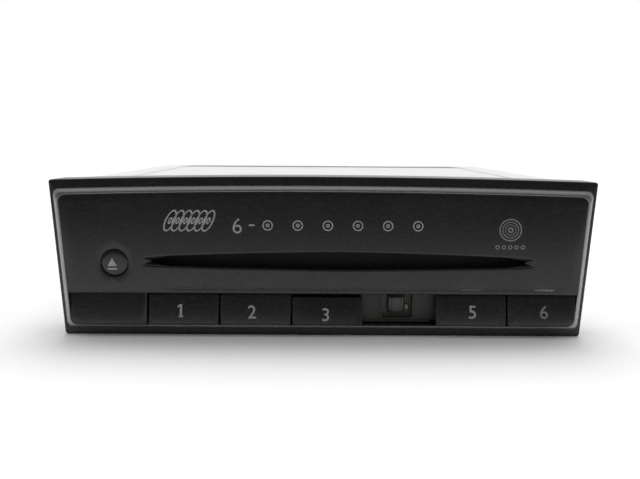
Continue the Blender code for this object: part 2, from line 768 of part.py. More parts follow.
def add_flap_ears(bezel):
    axis_y = flap_axis_y()
    inner = SLOT_WIDTH / 2 + FIT + FLAP_PIN_LENGTH / 2
    radius = FLAP_BARREL_RADIUS + FIT
    for i, side in enumerate((-1, 1)):
        near = SLOT_X + side * inner
        far = near + side * FLAP_PIN_LENGTH
        ear = block(f"flap_ear_{i + 1}",
                    (min(near, far), PANEL_Y + PANEL_WALL - EMBED,
                     FLAP_AXIS_Z - radius - FLAP_EAR_WALL),
                    (max(near, far), axis_y + radius + FLAP_EAR_WALL,
                     FLAP_AXIS_Z + radius + FLAP_EAR_WALL))
        join(bezel, ear)
        bore = cylinder(f"flap_bore_{i + 1}", ((near + far) / 2, axis_y, FLAP_AXIS_Z), radius,
                        FLAP_PIN_LENGTH + 2 * OVERRUN, "X", SMALL_STEPS)
        cut(bezel, bore)


def add_eject_sleeve(bezel):
    outer = EJECT_RADIUS + FIT + EJECT_SLEEVE_WALL
    start = PANEL_Y + PANEL_WALL / 2
    end = FLANGE_BACK_Y + EJECT_SLEEVE_LENGTH
    sleeve = cylinder("eject_sleeve", (EJECT_X, (start + end) / 2, EJECT_Z), outer, end - start, "Y")
    join(bezel, sleeve)
    hole = cylinder("eject_hole", (EJECT_X, (FRONT_Y + end) / 2, EJECT_Z), EJECT_RADIUS + FIT,
                    end - FRONT_Y + 2 * OVERRUN, "Y")
    cut(bezel, hole)


def front_bezel():
    bezel = bezel_shell()
    join(bezel, bezel_panel())
    cut(bezel, panel_pocket())
    add_eject_sleeve(bezel)
    add_bosses(bezel)
    add_hooks(bezel)
    add_flap_ears(bezel)
    cut(bezel, key_row_cutter())
    cut(bezel, slot_cutter())
    for number in range(1, KEY_COUNT + 1):
        middle = key_middle(number)
        half = BAR_WIDTH / 2 + FIT
        window = block(f"bar_window_{number}",
                       (middle - half, FRONT_Y - OVERRUN, BAR_Z - BAR_HEIGHT / 2 - FIT),
                       (middle + half, FLANGE_BACK_Y + OVERRUN, BAR_Z + BAR_HEIGHT / 2 + FIT))
        cut(bezel, window)
    finish(bezel, *BLACK_PLASTIC)


def ring_at(outline, y):
    return [(x, y, z) for x, z in outline]


def trim_frame():
    """A bright frame whose sloped face climbs from the flange to the panel's edge."""
    outer = face_outline(SIDE_MARGIN, BOTTOM_MARGIN, TOP_MARGIN, PANEL_CORNER + TRIM_RUN)
    inner = face_outline(PANEL_SIDE - FIT, PANEL_BOTTOM - FIT, PANEL_TOP - FIT, PANEL_CORNER)
    land = face_outline(PANEL_SIDE - FIT - TRIM_LAND, PANEL_BOTTOM - FIT - TRIM_LAND,
                        PANEL_TOP - FIT - TRIM_LAND, PANEL_CORNER)
    back = FLANGE_Y - FIT
    rings = [ring_at(outer, back), ring_at(outer, back - TRIM_LAND), ring_at(land, PANEL_Y),
             ring_at(inner, PANEL_Y), ring_at(inner, back)]
    frame = loft("trim_frame", rings)
    finish(frame, *SILVER_TRIM)


def light_guide():
    """One clear moulding carries the indicator bars above the keys."""
    first, last = key_middle(1), key_middle(KEY_COUNT)
    reach = BAR_WIDTH
    back_y = FLANGE_BACK_Y + FIT
    low, high = BAR_Z - GUIDE_BAR_HEIGHT / 2, BAR_Z + GUIDE_BAR_HEIGHT / 2
    guide = block("light_guide", (first - reach, back_y, low),
                  (last + reach, back_y + GUIDE_BAR_DEPTH, high))
    for number in range(1, KEY_COUNT + 1):
        middle = key_middle(number)
        bar = block(f"indicator_bar_{number}",
                    (middle - BAR_WIDTH / 2, BAR_FRONT_Y, BAR_Z - BAR_HEIGHT / 2),
                    (middle + BAR_WIDTH / 2, back_y + EMBED, BAR_Z + BAR_HEIGHT / 2))
        join(guide, bar)
    finish(guide, *SMOKED_PLASTIC)


def key_outline(number, inset, top):
    left, right = key_edges(number)
    low = KEY_BOTTOM_Z + inset
    left += KEY_GAP / 2 + inset
    low_right = high_right = right - KEY_GAP / 2 - inset
    last_corner = KEY_CORNER
    if number == KEY_COUNT:
        low_right = panel_half_width(low) - FIT - inset
        high_right = panel_half_width(top) - FIT - inset
        last_corner = PANEL_CORNER - inset
    corners = [(left, low), (low_right, low), (high_right, top), (left, top)]
    return rounded(corners, [KEY_CORNER, last_corner, KEY_CORNER, KEY_CORNER])


def selector_key(number):
    """A hollow cap whose face leans back, with a lip behind its top edge and a stem."""
    drop = LOW_KEY_DROP if number == LOW_KEY else 0
    top = KEY_TOP_Z - drop
    profile = apron_points(PANEL_BOTTOM, KEY_ROW_TOP - drop, KEY_BULGE, KEY_BULGE_STEPS)
    profile += [(KEY_BACK_Y, KEY_ROW_TOP), (KEY_BACK_Y, PANEL_BOTTOM)]
    left, right = key_edges(number)
    cap = plate(f"key_{number}", [profile], "X", left, right)
    outline = key_outline(number, 0, top)
    trimmer = plate(f"key_outline_{number}", [outline], "Y", FRONT_Y - OVERRUN,
                    KEY_BACK_Y + OVERRUN)
    intersect(cap, trimmer)
    inner = key_outline(number, KEY_WALL, top - KEY_WALL)
    hollow = plate(f"key_hollow_{number}", [inner], "Y", PANEL_Y + KEY_FRONT_WALL,
                   KEY_BACK_Y + OVERRUN)
    cut(cap, hollow)
    lip = block(f"key_lip_{number}",
                (left + KEY_GAP + KEY_WALL, FLANGE_BACK_Y + FIT, top - EMBED),
                (right - KEY_GAP - KEY_WALL, FLANGE_BACK_Y + FIT + KEY_LIP_THICKNESS,
                 KEY_TOP_Z + FIT + FIT))
    join(cap, lip)
    middle = key_middle(number)
    stem = block(f"key_stem_{number}",
                 (middle - KEY_STEM / 2, PANEL_Y + KEY_FRONT_WALL - EMBED,
                  KEY_MIDDLE_Z - KEY_STEM / 2),
                 (middle + KEY_STEM / 2, STEM_END_Y, KEY_MIDDLE_Z + KEY_STEM / 2))
    join(cap, stem)
    finish(cap, *BLACK_PLASTIC)


def eject_button():
    """A round button with a slightly domed face and a stem."""
    back = KEY_BACK_Y
    front = KEY_FRONT_Y
    profile = [(0, 0)]
    for i in range(1, CORNER_STEPS + 1):
        share = i / CORNER_STEPS
        profile.append((EJECT_RADIUS * share, -EJECT_DOME * share * share))
    stem = KEY_STEM / 2
    profile += [(EJECT_RADIUS, front - back), (stem, front - back), (stem, front - STEM_END_Y),
                (0, front - STEM_END_Y)]
    button = turned("eject_button", profile, (EJECT_X, front, EJECT_Z), "Y")
    finish(button, *BLACK_PLASTIC)


def key_guide():
    """The moulding behind the keys, with a window for each stem."""
    right = panel_half_width(KEY_GUIDE_FOOT)
    left = KEY_ROW_LEFT
    outlines = [rectangle(left, KEY_GUIDE_FOOT, right, KEY_GUIDE_TOP)]
    for number in range(1, KEY_COUNT + 1):
        middle = key_middle(number)
        half_width, half_height = KEY_GUIDE_WINDOW_WIDTH / 2, KEY_GUIDE_WINDOW_HEIGHT / 2
        outlines.append(rectangle(middle - half_width, KEY_MIDDLE_Z - half_height,
                                  middle + half_width, KEY_MIDDLE_Z + half_height))
    guide = plate("key_guide", outlines, "Y", KEY_GUIDE_Y, KEY_GUIDE_Y + KEY_GUIDE_THICKNESS)
    finish(guide, *DARK_PLASTIC)


def switch_body(name, x, z):
    half = SWITCH_SIZE / 2
    base = block(name, (x - half, SWITCH_Y + PLUNGER_HEIGHT, z - half),
                 (x + half, KEY_BOARD_Y + EMBED, z + half))
    plunger = cylinder(name + "_plunger", (x, SWITCH_Y + PLUNGER_HEIGHT, z), PLUNGER_RADIUS,
                       2 * PLUNGER_HEIGHT, "Y", SMALL_STEPS)
    join(base, plunger)
    return base


def key_board():
    """The board carries a switch behind each cap; the one in the open bay is a node."""
    right = panel_half_width(KEY_GUIDE_FOOT)
    left = -face_half_width(KEY_GUIDE_FOOT) + BEZEL_WALL + KEY_BOARD_REACH
    flap_left = SLOT_X - SLOT_WIDTH / 2 - FLAP_PIN_LENGTH - FIT
    high = EJECT_Z + SWITCH_SIZE
    outline = [(left, KEY_GUIDE_FOOT), (right, KEY_GUIDE_FOOT), (right, KEY_BOARD_TOP),
               (flap_left, KEY_BOARD_TOP), (flap_left, high), (left, high)]
    board = plate("key_board", [outline], "Y", KEY_BOARD_Y, KEY_BOARD_Y + KEY_BOARD_THICKNESS)
    join(board, switch_body("eject_switch", EJECT_X, EJECT_Z))
    for number in range(1, KEY_COUNT + 1):
        if number != MISSING_KEY:
            join(board, switch_body(f"switch_{number}", key_middle(number), KEY_MIDDLE_Z))
    finish(board, *BOARD_GREEN)


def bay_switch():
    """The switch of the missing cap, with its upright plunger bare."""
    middle = key_middle(MISSING_KEY)
    half = SWITCH_SIZE / 2
    switch = block("bay_switch", (middle - half, SWITCH_Y + PLUNGER_HEIGHT, KEY_MIDDLE_Z - half),
                   (middle + half, KEY_BOARD_Y - FIT, KEY_MIDDLE_Z + half))
    plunger = block("bay_plunger",
                    (middle - BARE_PLUNGER_WIDTH / 2, SWITCH_Y,
                     KEY_MIDDLE_Z - BARE_PLUNGER_RISE / 2),
                    (middle + BARE_PLUNGER_WIDTH / 2, SWITCH_Y + PLUNGER_HEIGHT + EMBED,
                     KEY_MIDDLE_Z + BARE_PLUNGER_RISE / 2))
    join(switch, plunger)
    finish(switch, *GREY_PLASTIC)


def flap_axis_y():
    return FLANGE_BACK_Y + FIT + FLAP_BARREL_RADIUS


def dust_flap():
    """A flap that hangs behind the slot from pins at its top."""
    axis_y = flap_axis_y()
    half = SLOT_WIDTH / 2 - FIT
    leaf = block("dust_flap", (SLOT_X - half, axis_y - FLAP_THICKNESS / 2, FLAP_AXIS_Z - FLAP_HEIGHT),
                 (SLOT_X + half, axis_y + FLAP_THICKNESS / 2, FLAP_AXIS_Z))
    move_origin(leaf, (SLOT_X, axis_y, FLAP_AXIS_Z))
    barrel = cylinder("flap_barrel", (SLOT_X, axis_y, FLAP_AXIS_Z), FLAP_BARREL_RADIUS,
                      SLOT_WIDTH + 2 * FLAP_PIN_LENGTH, "X", SMALL_STEPS)
    join(leaf, barrel)
    finish(leaf, *DARK_PLASTIC)


# Chassis


def side_mount_places():
    first = CHASSIS_FRONT_Y + MOUNT_HOLE_FROM_FRONT
    return [first, first + MOUNT_HOLE_SPACING]


def chassis_tray():
    """One folded sheet: a floor with two pressed beads and two sides with mounting holes."""
    outer, inner = TRAY_OUTER_WIDTH / 2, TRAY_INNER_WIDTH / 2
    corners = [(-outer, BEAD_DEPTH), (outer, BEAD_DEPTH), (outer, SIDE_TOP_Z),
               (inner, SIDE_TOP_Z), (inner, FLOOR_Z), (-inner, FLOOR_Z), (-inner, SIDE_TOP_Z),
               (-outer, SIDE_TOP_Z)]
    bend, inside = SHEET_BEND, SHEET_BEND - SHEET
    outline = rounded(corners, [bend, bend, 0, 0, inside, inside, 0, 0], BEND_STEPS)
    tray = plate("chassis_tray", [outline], "Y", CHASSIS_FRONT_Y, CHASSIS_REAR_Y)
    for i, side in enumerate((-1, 1)):
        x = side * BEAD_SPACING / 2
        bead = plate(f"bead_{i + 1}", [bead_outline(x, 0, 0, EMBED)], "Y",
                     CHASSIS_MIDDLE_Y - BEAD_LENGTH / 2, CHASSIS_MIDDLE_Y + BEAD_LENGTH / 2)
        join(tray, bead)
        groove = plate(f"bead_groove_{i + 1}", [bead_outline(x, SHEET, SHEET, OVERRUN + SHEET)],
                       "Y", CHASSIS_MIDDLE_Y - BEAD_LENGTH / 2 + SHEET,
                       CHASSIS_MIDDLE_Y + BEAD_LENGTH / 2 - SHEET)
        cut(tray, groove)
        for j, y in enumerate(side_mount_places()):
            hole = cylinder(f"mount_hole_{i + 1}_{j + 1}",
                            (side * TRAY_OUTER_WIDTH / 2, y, MOUNT_HOLE_HEIGHT),
                            MOUNT_HOLE_RADIUS, 4 * SHEET, "X", SMALL_STEPS)
            cut(tray, hole)
        for j, y in enumerate((BOARD_FRONT_Y + BOARD_TAB_LENGTH, CHASSIS_REAR_Y - BOARD_TAB_FROM_REAR)):
            edge = side * (inner + SHEET / 2)
            reach = side * (inner - BOARD_TAB)
            tab = block(f"board_tab_{i + 1}_{j + 1}",
                        (min(edge, reach), y - BOARD_TAB_LENGTH / 2, BOARD_Z - FIT - SHEET),
                        (max(edge, reach), y + BOARD_TAB_LENGTH / 2, BOARD_Z - FIT))
            join(tray, tab)
    finish(tray, *ZINC_SHEET)


def bead_outline(x, inset, bottom, above):
    half = BEAD_WIDTH / 2 - inset
    taper = BEAD_TAPER
    return [(x - half + taper, bottom), (x + half - taper, bottom), (x + half, BEAD_DEPTH),
            (x + half, BEAD_DEPTH + above), (x - half, BEAD_DEPTH + above), (x - half, BEAD_DEPTH)]


def top_cover():
    """The lid has a shallow pressed field and lips over the sides."""
    outer = CHASSIS_WIDTH / 2
    inner = outer - SHEET
    low = CHASSIS_TOP_Z - COVER_LIP
    under = CHASSIS_TOP_Z - SHEET
    corners = [(-outer, low), (-inner, low), (-inner, under), (inner, under), (inner, low),
               (outer, low), (outer, CHASSIS_TOP_Z), (-outer, CHASSIS_TOP_Z)]
    bend, inside = SHEET_BEND, SHEET_BEND - SHEET
    outline = rounded(corners, [0, 0, inside, inside, 0, 0, bend, bend], BEND_STEPS)
    cover = plate("top_cover", [outline], "Y", CHASSIS_FRONT_Y, CHASSIS_REAR_Y)
    margin = COVER_RECESS_MARGIN
    field = rectangle(-outer + margin, CHASSIS_FRONT_Y + margin, outer - margin,
                      CHASSIS_REAR_Y - margin, margin / 2)
    recess = plate("cover_recess", [field], "Z", CHASSIS_TOP_Z - COVER_RECESS,
                   CHASSIS_TOP_Z + OVERRUN)
    cut(cover, recess)
    for i, (side, y) in enumerate(cover_screw_places()):
        hole = cylinder(f"cover_hole_{i + 1}", (side * outer, y, cover_screw_z()),
                        SCREW_SHANK_RADIUS + FIT, 2 * (SCREW_SHANK_LENGTH + OVERRUN), "X",
                        SMALL_STEPS)
        cut(cover, hole)
        cut(bpy.data.objects["chassis_tray"], hole)
    finish(cover, *ZINC_SHEET)


def cover_screw_z():
    return CHASSIS_TOP_Z - COVER_LIP / 2 - SHEET / 2


def cover_screw_places():
    ends = (CHASSIS_FRONT_Y + SCREW_FROM_END, CHASSIS_REAR_Y - SCREW_FROM_END)
    return [(side, y) for side in (-1, 1) for y in ends]


def cover_screws():
    head = SCREW_HEAD_HEIGHT
    profile = [(0, head), (SCREW_HEAD_RADIUS * SCREW_FLAT_SHARE, head),
               (SCREW_HEAD_RADIUS, head * SCREW_EDGE_SHARE),
               (SCREW_HEAD_RADIUS, 0), (SCREW_SHANK_RADIUS, 0),
               (SCREW_SHANK_RADIUS, -SCREW_SHANK_LENGTH), (0, -SCREW_SHANK_LENGTH)]
    for i, (side, y) in enumerate(cover_screw_places()):
        x = side * (CHASSIS_WIDTH / 2 + FIT)
        screw = turned(f"cover_screw_{i + 1}", profile, (x, y, cover_screw_z()), "X", SMALL_STEPS)
        screw.rotation_euler = (0, side * math.pi / 2, 0)
        driver = block(f"screw_slot_{i + 1}",
                       (x + side * head - SCREW_SLOT / 2, y - SCREW_HEAD_RADIUS,
                        cover_screw_z() - SCREW_SLOT / 2),
                       (x + side * head + SCREW_SLOT / 2, y + SCREW_HEAD_RADIUS,
                        cover_screw_z() + SCREW_SLOT / 2))
        cut(screw, driver)
        finish(screw, *STEEL)


def front_plate():
    """The chassis front: a sheet with a window for the disc and notches for the hooks."""
    half = TRAY_INNER_WIDTH / 2 - FIT
    low, high = FLOOR_Z + FIT, SIDE_TOP_Z - FIT
    slot_half = SLOT_WIDTH / 2
    outlines = [rectangle(-half, low, half, high),
                rectangle(SLOT_X - slot_half, SLOT_Z - FRONT_WINDOW_HEIGHT / 2,
                          SLOT_X + slot_half, SLOT_Z + FRONT_WINDOW_HEIGHT / 2)]
    sheet = plate("front_plate", outlines, "Y", CHASSIS_FRONT_Y, CHASSIS_FRONT_Y + SHEET)
    notch_half = HOOK_WIDTH / 2 + FIT
    depth = HOOK_SET_IN + HOOK_THICKNESS + 2 * FIT
    for i, x in enumerate((-HOOK_X, HOOK_X)):
        for name, z0, z1 in (("top", high - depth - FIT, high + OVERRUN),
                             ("bottom", low - OVERRUN, low + depth)):
            notch = block(f"notch_{name}_{i + 1}", (x - notch_half, CHASSIS_FRONT_Y - OVERRUN, z0),
                          (x + notch_half, CHASSIS_FRONT_Y + SHEET + OVERRUN, z1))
            cut(sheet, notch)
    for i, x in enumerate((-BOSS_X, BOSS_X)):
        hole = cylinder(f"front_hole_{i + 1}", (x, CHASSIS_FRONT_Y, BOSS_Z), BOSS_HOLE_RADIUS,
                        4 * SHEET, "Y", SMALL_STEPS)
        cut(sheet, hole)
    finish(sheet, *ZINC_SHEET)


def rear_plate():
    """The chassis rear: a sheet with the connector's cut-out and a row of vents."""
    half = TRAY_INNER_WIDTH / 2 - FIT
    low, high = FLOOR_Z + FIT, SIDE_TOP_Z - FIT
    connector_high = BOARD_Z
    connector_low = connector_high - FIT - CONNECTOR_HEIGHT - FIT
    outlines = [rectangle(-half, low, half, high),
                rectangle(CONNECTOR_X - CONNECTOR_WIDTH / 2 - FIT, connector_low,
                          CONNECTOR_X + CONNECTOR_WIDTH / 2 + FIT, connector_high)]
    for i in range(REAR_VENT_COUNT):
        x = HEAT_SINK_X + (i - (REAR_VENT_COUNT - 1) / 2) * REAR_VENT_PITCH
        z = BOARD_Z - HEAT_SINK_HEIGHT / 2
        outlines.append(rectangle(x - REAR_VENT_WIDTH / 2, z - REAR_VENT_HEIGHT / 2,
                                  x + REAR_VENT_WIDTH / 2, z + REAR_VENT_HEIGHT / 2))
    sheet = plate("rear_plate", outlines, "Y", REAR_PLATE_Y, CHASSIS_REAR_Y)
    finish(sheet, *ZINC_SHEET)


# Electronics


def main_board():
    half = TRAY_INNER_WIDTH / 2 - FIT
    outline = [(-half, BOARD_FRONT_Y), (half, BOARD_FRONT_Y), (half, BOARD_REAR_Y),
               (-half, BOARD_REAR_Y)]
    board = plate("main_board", [outline], "Z", BOARD_Z, BOARD_Z + BOARD_THICKNESS)
    finish(board, *BOARD_GREEN)


def rear_connector():
    """A socket that opens to the rear, with two rows of contact pins."""
    left = CONNECTOR_X - CONNECTOR_WIDTH / 2
    right = CONNECTOR_X + CONNECTOR_WIDTH / 2
    high = BOARD_Z - FIT
    low = high - CONNECTOR_HEIGHT
    rear = CHASSIS_REAR_Y + CONNECTOR_PROUD
    front = rear - CONNECTOR_DEPTH
    wall = CONNECTOR_WALL
    body = block("rear_connector", (left, front, low), (right, rear, high))
    socket_floor = rear - SOCKET_DEPTH
    cavity = block("connector_cavity", (left + wall, socket_floor, low + wall),
                   (right - wall, rear + OVERRUN, high - wall))
    cut(body, cavity)
    middle_z = (low + high) / 2
    for i in range(CONNECTOR_PINS):
        x = CONNECTOR_X + (i - (CONNECTOR_PINS - 1) / 2) * PIN_PITCH
        for row, side in enumerate((-1, 1)):
            z = middle_z + side * PIN_PITCH / 2
            pin = block(f"pin_{i + 1}_{row + 1}",
                        (x - PIN_SIZE / 2, socket_floor - EMBED, z - PIN_SIZE / 2),
                        (x + PIN_SIZE / 2, socket_floor + PIN_LENGTH, z + PIN_SIZE / 2))
            join(body, pin)
    finish(body, *IVORY_PLASTIC)


def heat_sink():
    """A comb of fins on a back plate against the chassis rear."""
    left = HEAT_SINK_X - HEAT_SINK_WIDTH / 2
    right = HEAT_SINK_X + HEAT_SINK_WIDTH / 2
    rear = BOARD_REAR_Y
    front = rear - HEAT_SINK_DEPTH
    spread = HEAT_SINK_WIDTH - FIN_THICKNESS
    outline = [(left, rear), (left, front)]
    for i in range(HEAT_SINK_FINS):
        x = left + spread * i / (HEAT_SINK_FINS - 1)
        if i > 0:
            outline += [(x, rear - HEAT_SINK_BACK), (x, front)]
        outline.append((x + FIN_THICKNESS, front))
        if i < HEAT_SINK_FINS - 1:
            outline.append((x + FIN_THICKNESS, rear - HEAT_SINK_BACK))
    outline.append((right, rear))
    sink = plate("heat_sink", [outline], "Z", BOARD_Z - FIT - HEAT_SINK_HEIGHT, BOARD_Z - FIT)
    finish(sink, *ALUMINIUM)


def capacitors():
    y = BOARD_REAR_Y - CAPACITOR_FROM_REAR
    for i in range(CAPACITOR_COUNT):
        x = CAPACITOR_X + i * CAPACITOR_PITCH
        z = BOARD_Z - FIT - CAPACITOR_HEIGHT / 2
        can = cylinder(f"capacitor_{i + 1}", (x, y, z), CAPACITOR_RADIUS, CAPACITOR_HEIGHT, "Z",
                       SMALL_STEPS)
        soften(can, EMBED)
        finish(can, *DARK_PLASTIC)


# Loading unit


def gear_module():
    """The module at which the idler gear just clears the floor of the loading frame."""
    drop = (ROLLER_TEETH + IDLER_TEETH) / 2 * -math.sin(IDLER_DIRECTION)
    return (ROLLER_Z - LOADING_FLOOR_Z - FIT) / (drop + IDLER_TEETH / 2 + ADDENDUM_SHARE)


def gear_outline(teeth, middle, phase):
    """An outline of straight-sided teeth on the pitch circle of the gear module."""
    module = gear_module()
    pitch_radius = module * teeth / 2
    tip = pitch_radius + module * ADDENDUM_SHARE
    root = pitch_radius - module * DEDENDUM_SHARE
    turn = 2 * math.pi / teeth
    points = []
    for i in range(teeth):
        centre = phase + turn * i
        for radius, share in ((root, -TOOTH_ROOT_SHARE), (tip, -TOOTH_TIP_SHARE),
                              (tip, TOOTH_TIP_SHARE), (root, TOOTH_ROOT_SHARE)):
            angle = centre + share * turn / 2
            points.append((middle[0] + radius * math.cos(angle),
                           middle[1] + radius * math.sin(angle)))
    return points


def gear_places():
    """Centres of the three gears in (y, z), and the phase at which each meshes."""
    roller = (ROLLER_Y, ROLLER_Z)
    reach = gear_module() * (ROLLER_TEETH + IDLER_TEETH) / 2
    idler = (roller[0] + reach * math.cos(IDLER_DIRECTION),
             roller[1] + reach * math.sin(IDLER_DIRECTION))
    reach = gear_module() * (IDLER_TEETH + PINION_TEETH) / 2
    pinion = (idler[0] + reach * math.cos(PINION_DIRECTION),
              idler[1] + reach * math.sin(PINION_DIRECTION))
    idler_turn = 2 * math.pi / IDLER_TEETH
    idler_phase = IDLER_DIRECTION + math.pi + idler_turn / 2
    offset = (idler_phase - PINION_DIRECTION) % idler_turn
    pinion_phase = PINION_DIRECTION + math.pi - offset * IDLER_TEETH / PINION_TEETH
    pinion_phase += math.pi / PINION_TEETH
    return {"roller": (roller, IDLER_DIRECTION), "idler": (idler, idler_phase),
            "pinion": (pinion, pinion_phase)}


def right_cheek_x():
    return SLOT_X + CHEEK_SPACING / 2


def gear_start_x():
    return right_cheek_x() + SHEET + FIT


def loading_frame():
    """A folded frame whose cheeks carry the roller, the disc guide and the gear train."""
    front = ROLLER_Y - LOADING_FRAME_FRONT
    rear = ROLLER_Y + LOADING_FRAME_REAR
    low = FLOOR_Z + FIT
    left = SLOT_X - CHEEK_SPACING / 2
    right = right_cheek_x()
    places = gear_places()
    (pinion_y, pinion_z), _ = places["pinion"]
    corners = [(front, low), (rear, low), (rear, LOADING_FRAME_TOP), (front, LOADING_FRAME_TOP)]
    cheek = rounded(corners, [0, 0, CHEEK_CORNER, CHEEK_CORNER])
    bearing = circle(ROLLER_Y, ROLLER_Z, ROLLER_SHAFT_RADIUS + FIT)
    motor_hole = circle(pinion_y, pinion_z, AXLE_RADIUS + FIT)
    frame = plate("loading_frame", [cheek, bearing], "X", left - SHEET, left)
    other = plate("loading_cheek", [cheek, bearing, motor_hole], "X", right, right + SHEET)
    floor = block("loading_floor", (left - SHEET / 2, front, low),
                  (right + SHEET / 2, rear, low + SHEET))
    join(other, idler_axle(places))
    join(frame, floor)
    join(frame, other)
    finish(frame, *STEEL)


def idler_axle(places):
    (y, z), _ = places["idler"]
    start = right_cheek_x() + SHEET / 2
    end = gear_start_x() + GEAR_WIDTH + 2 * FIT
    return cylinder("idler_axle", ((start + end) / 2, y, z), AXLE_RADIUS, end - start, "X",
                    SMALL_STEPS)


def gear(name, kind, teeth, bore):
    (y, z), phase = gear_places()[kind]
    start = gear_start_x()
    outlines = [gear_outline(teeth, (y, z), phase)]
    if bore > 0:
        outlines.append(circle(y, z, bore))
    wheel = plate(name, outlines, "X", start, start + GEAR_WIDTH, (y, z))
    return wheel


def loading_roller():
    """A rubber roller that is thicker at its ends, so that it grips only a disc's edges."""
    half = ROLLER_LENGTH / 2
    shaft_end = right_cheek_x() + SHEET + FIT + GEAR_WIDTH + FIT - SLOT_X
    left_end = -(CHEEK_SPACING / 2 + SHEET + FIT)
    profile = [(0, shaft_end), (ROLLER_SHAFT_RADIUS, shaft_end), (ROLLER_SHAFT_RADIUS, half),
               (ROLLER_END_RADIUS, half), (ROLLER_MIDDLE_RADIUS, 0), (ROLLER_END_RADIUS, -half),
               (ROLLER_SHAFT_RADIUS, -half), (ROLLER_SHAFT_RADIUS, left_end), (0, left_end)]
    roller = turned("loading_roller", profile, (SLOT_X, ROLLER_Y, ROLLER_Z), "X", SMALL_STEPS)
    finish(roller, *SOFT_RUBBER)


def gear_train():
    finish(gear("roller_gear", "roller", ROLLER_TEETH, ROLLER_SHAFT_RADIUS + FIT),
           *IVORY_PLASTIC)
    finish(gear("idler_gear", "idler", IDLER_TEETH, AXLE_RADIUS + FIT), *IVORY_PLASTIC)
    pinion = gear("motor_pinion", "pinion", PINION_TEETH, 0)
    (y, z), _ = gear_places()["pinion"]
    start = right_cheek_x() - LOADING_MOTOR_LENGTH / 2
    end = gear_start_x() + EMBED
    shaft = cylinder("pinion_shaft", ((start + end) / 2, y, z), AXLE_RADIUS - FIT, end - start,
                     "X", SMALL_STEPS)
    join(pinion, shaft)
    finish(pinion, *ALUMINIUM)


def loading_motor():
    (y, z), _ = gear_places()["pinion"]
    face = right_cheek_x() - FIT
    middle = face - LOADING_MOTOR_LENGTH / 2
    motor = cylinder("loading_motor", (middle, y, z), z - LOADING_FLOOR_Z - FIT,
                     LOADING_MOTOR_LENGTH, "X")
    bore = cylinder("motor_bore", (face, y, z), AXLE_RADIUS, LOADING_MOTOR_LENGTH + 2 * OVERRUN,
                    "X", SMALL_STEPS)
    cut(motor, bore)
    finish(motor, *STEEL)


def disc_guide():
    """A ribbed plate above the disc's path, held between the cheeks."""
    half = CHEEK_SPACING / 2 - FIT
    low = SLOT_Z + DISC_THICKNESS + GUIDE_RIB
    guide = block("disc_guide", (SLOT_X - half, ROLLER_Y - GUIDE_DEPTH / 2, low),
                  (SLOT_X + half, ROLLER_Y + GUIDE_DEPTH / 2, low + GUIDE_THICKNESS))
    spread = 2 * half - GUIDE_DEPTH
    for i in range(GUIDE_RIB_COUNT):
        x = SLOT_X - spread / 2 + spread * i / (GUIDE_RIB_COUNT - 1)
        rib = block(f"guide_rib_{i + 1}", (x - GUIDE_RIB, ROLLER_Y - GUIDE_DEPTH / 2 + GUIDE_RIB,
                                           low - GUIDE_RIB),
                    (x + GUIDE_RIB, ROLLER_Y + GUIDE_DEPTH / 2 - GUIDE_RIB, low + EMBED))
        join(guide, rib)
    finish(guide, *DARK_PLASTIC)


# Mechanism


def mechanism_deck():
    half = DECK_WIDTH / 2
    rear = DECK_FRONT_Y + DECK_LENGTH
    outlines = [rectangle(-half, DECK_FRONT_Y, half, rear, DECK_CORNER)]
    for x in (-DECK_WINDOW_X, DECK_WINDOW_X):
        outlines.append(rectangle(x - DECK_WINDOW_WIDTH / 2,
                                  DECK_MIDDLE_Y - DECK_WINDOW_LENGTH / 2,
                                  x + DECK_WINDOW_WIDTH / 2,
                                  DECK_MIDDLE_Y + DECK_WINDOW_LENGTH / 2, DECK_CORNER / 2))
    deck = plate("mechanism_deck", outlines, "Z", DECK_Z, DECK_TOP_Z)
    finish(deck, *STEEL)


def dampers():
    """Waisted rubber dampers between the chassis floor and the deck."""
    height = DECK_Z - FIT - FLOOR_Z - FIT
    neck = height * DAMPER_NECK_SHARE
    profile = [(0, height / 2), (DAMPER_RADIUS, height / 2), (DAMPER_NECK_RADIUS, neck),
               (DAMPER_NECK_RADIUS, -neck), (DAMPER_RADIUS, -height / 2), (0, -height / 2)]
    x = DECK_WIDTH / 2 - DAMPER_INSET
    y = DECK_LENGTH / 2 - DAMPER_INSET
    z = FLOOR_Z + FIT + height / 2
    corners = [(-x, -y), (x, -y), (-x, y), (x, y)]
    for i, (dx, dy) in enumerate(corners):
        damper = turned(f"damper_{i + 1}", profile, (dx, DECK_MIDDLE_Y + dy, z), "Z", SMALL_STEPS)
        finish(damper, *SOFT_RUBBER)


def post_places():
    return [(SLOT_X - FRONT_POST_X, DISC_CENTRE_Y - FRONT_POST_Y),
            (SLOT_X + FRONT_POST_X, DISC_CENTRE_Y - FRONT_POST_Y),
            (SLOT_X - REAR_POST_X, DISC_CENTRE_Y + REAR_POST_Y),
            (SLOT_X + REAR_POST_X, DISC_CENTRE_Y + REAR_POST_Y)]


def lift_posts():
    low = DECK_TOP_Z + FIT
    length = POST_TOP - low
    names = ["guide_post_1", "guide_post_2", "guide_post_3", "lift_screw"]
    for name, (x, y) in zip(names, post_places()):
        post = cylinder(name, (x, y, low + length / 2), POST_RADIUS, length, "Z", POST_STEPS)
        soften(post, EMBED)
        finish(post, *STEEL)


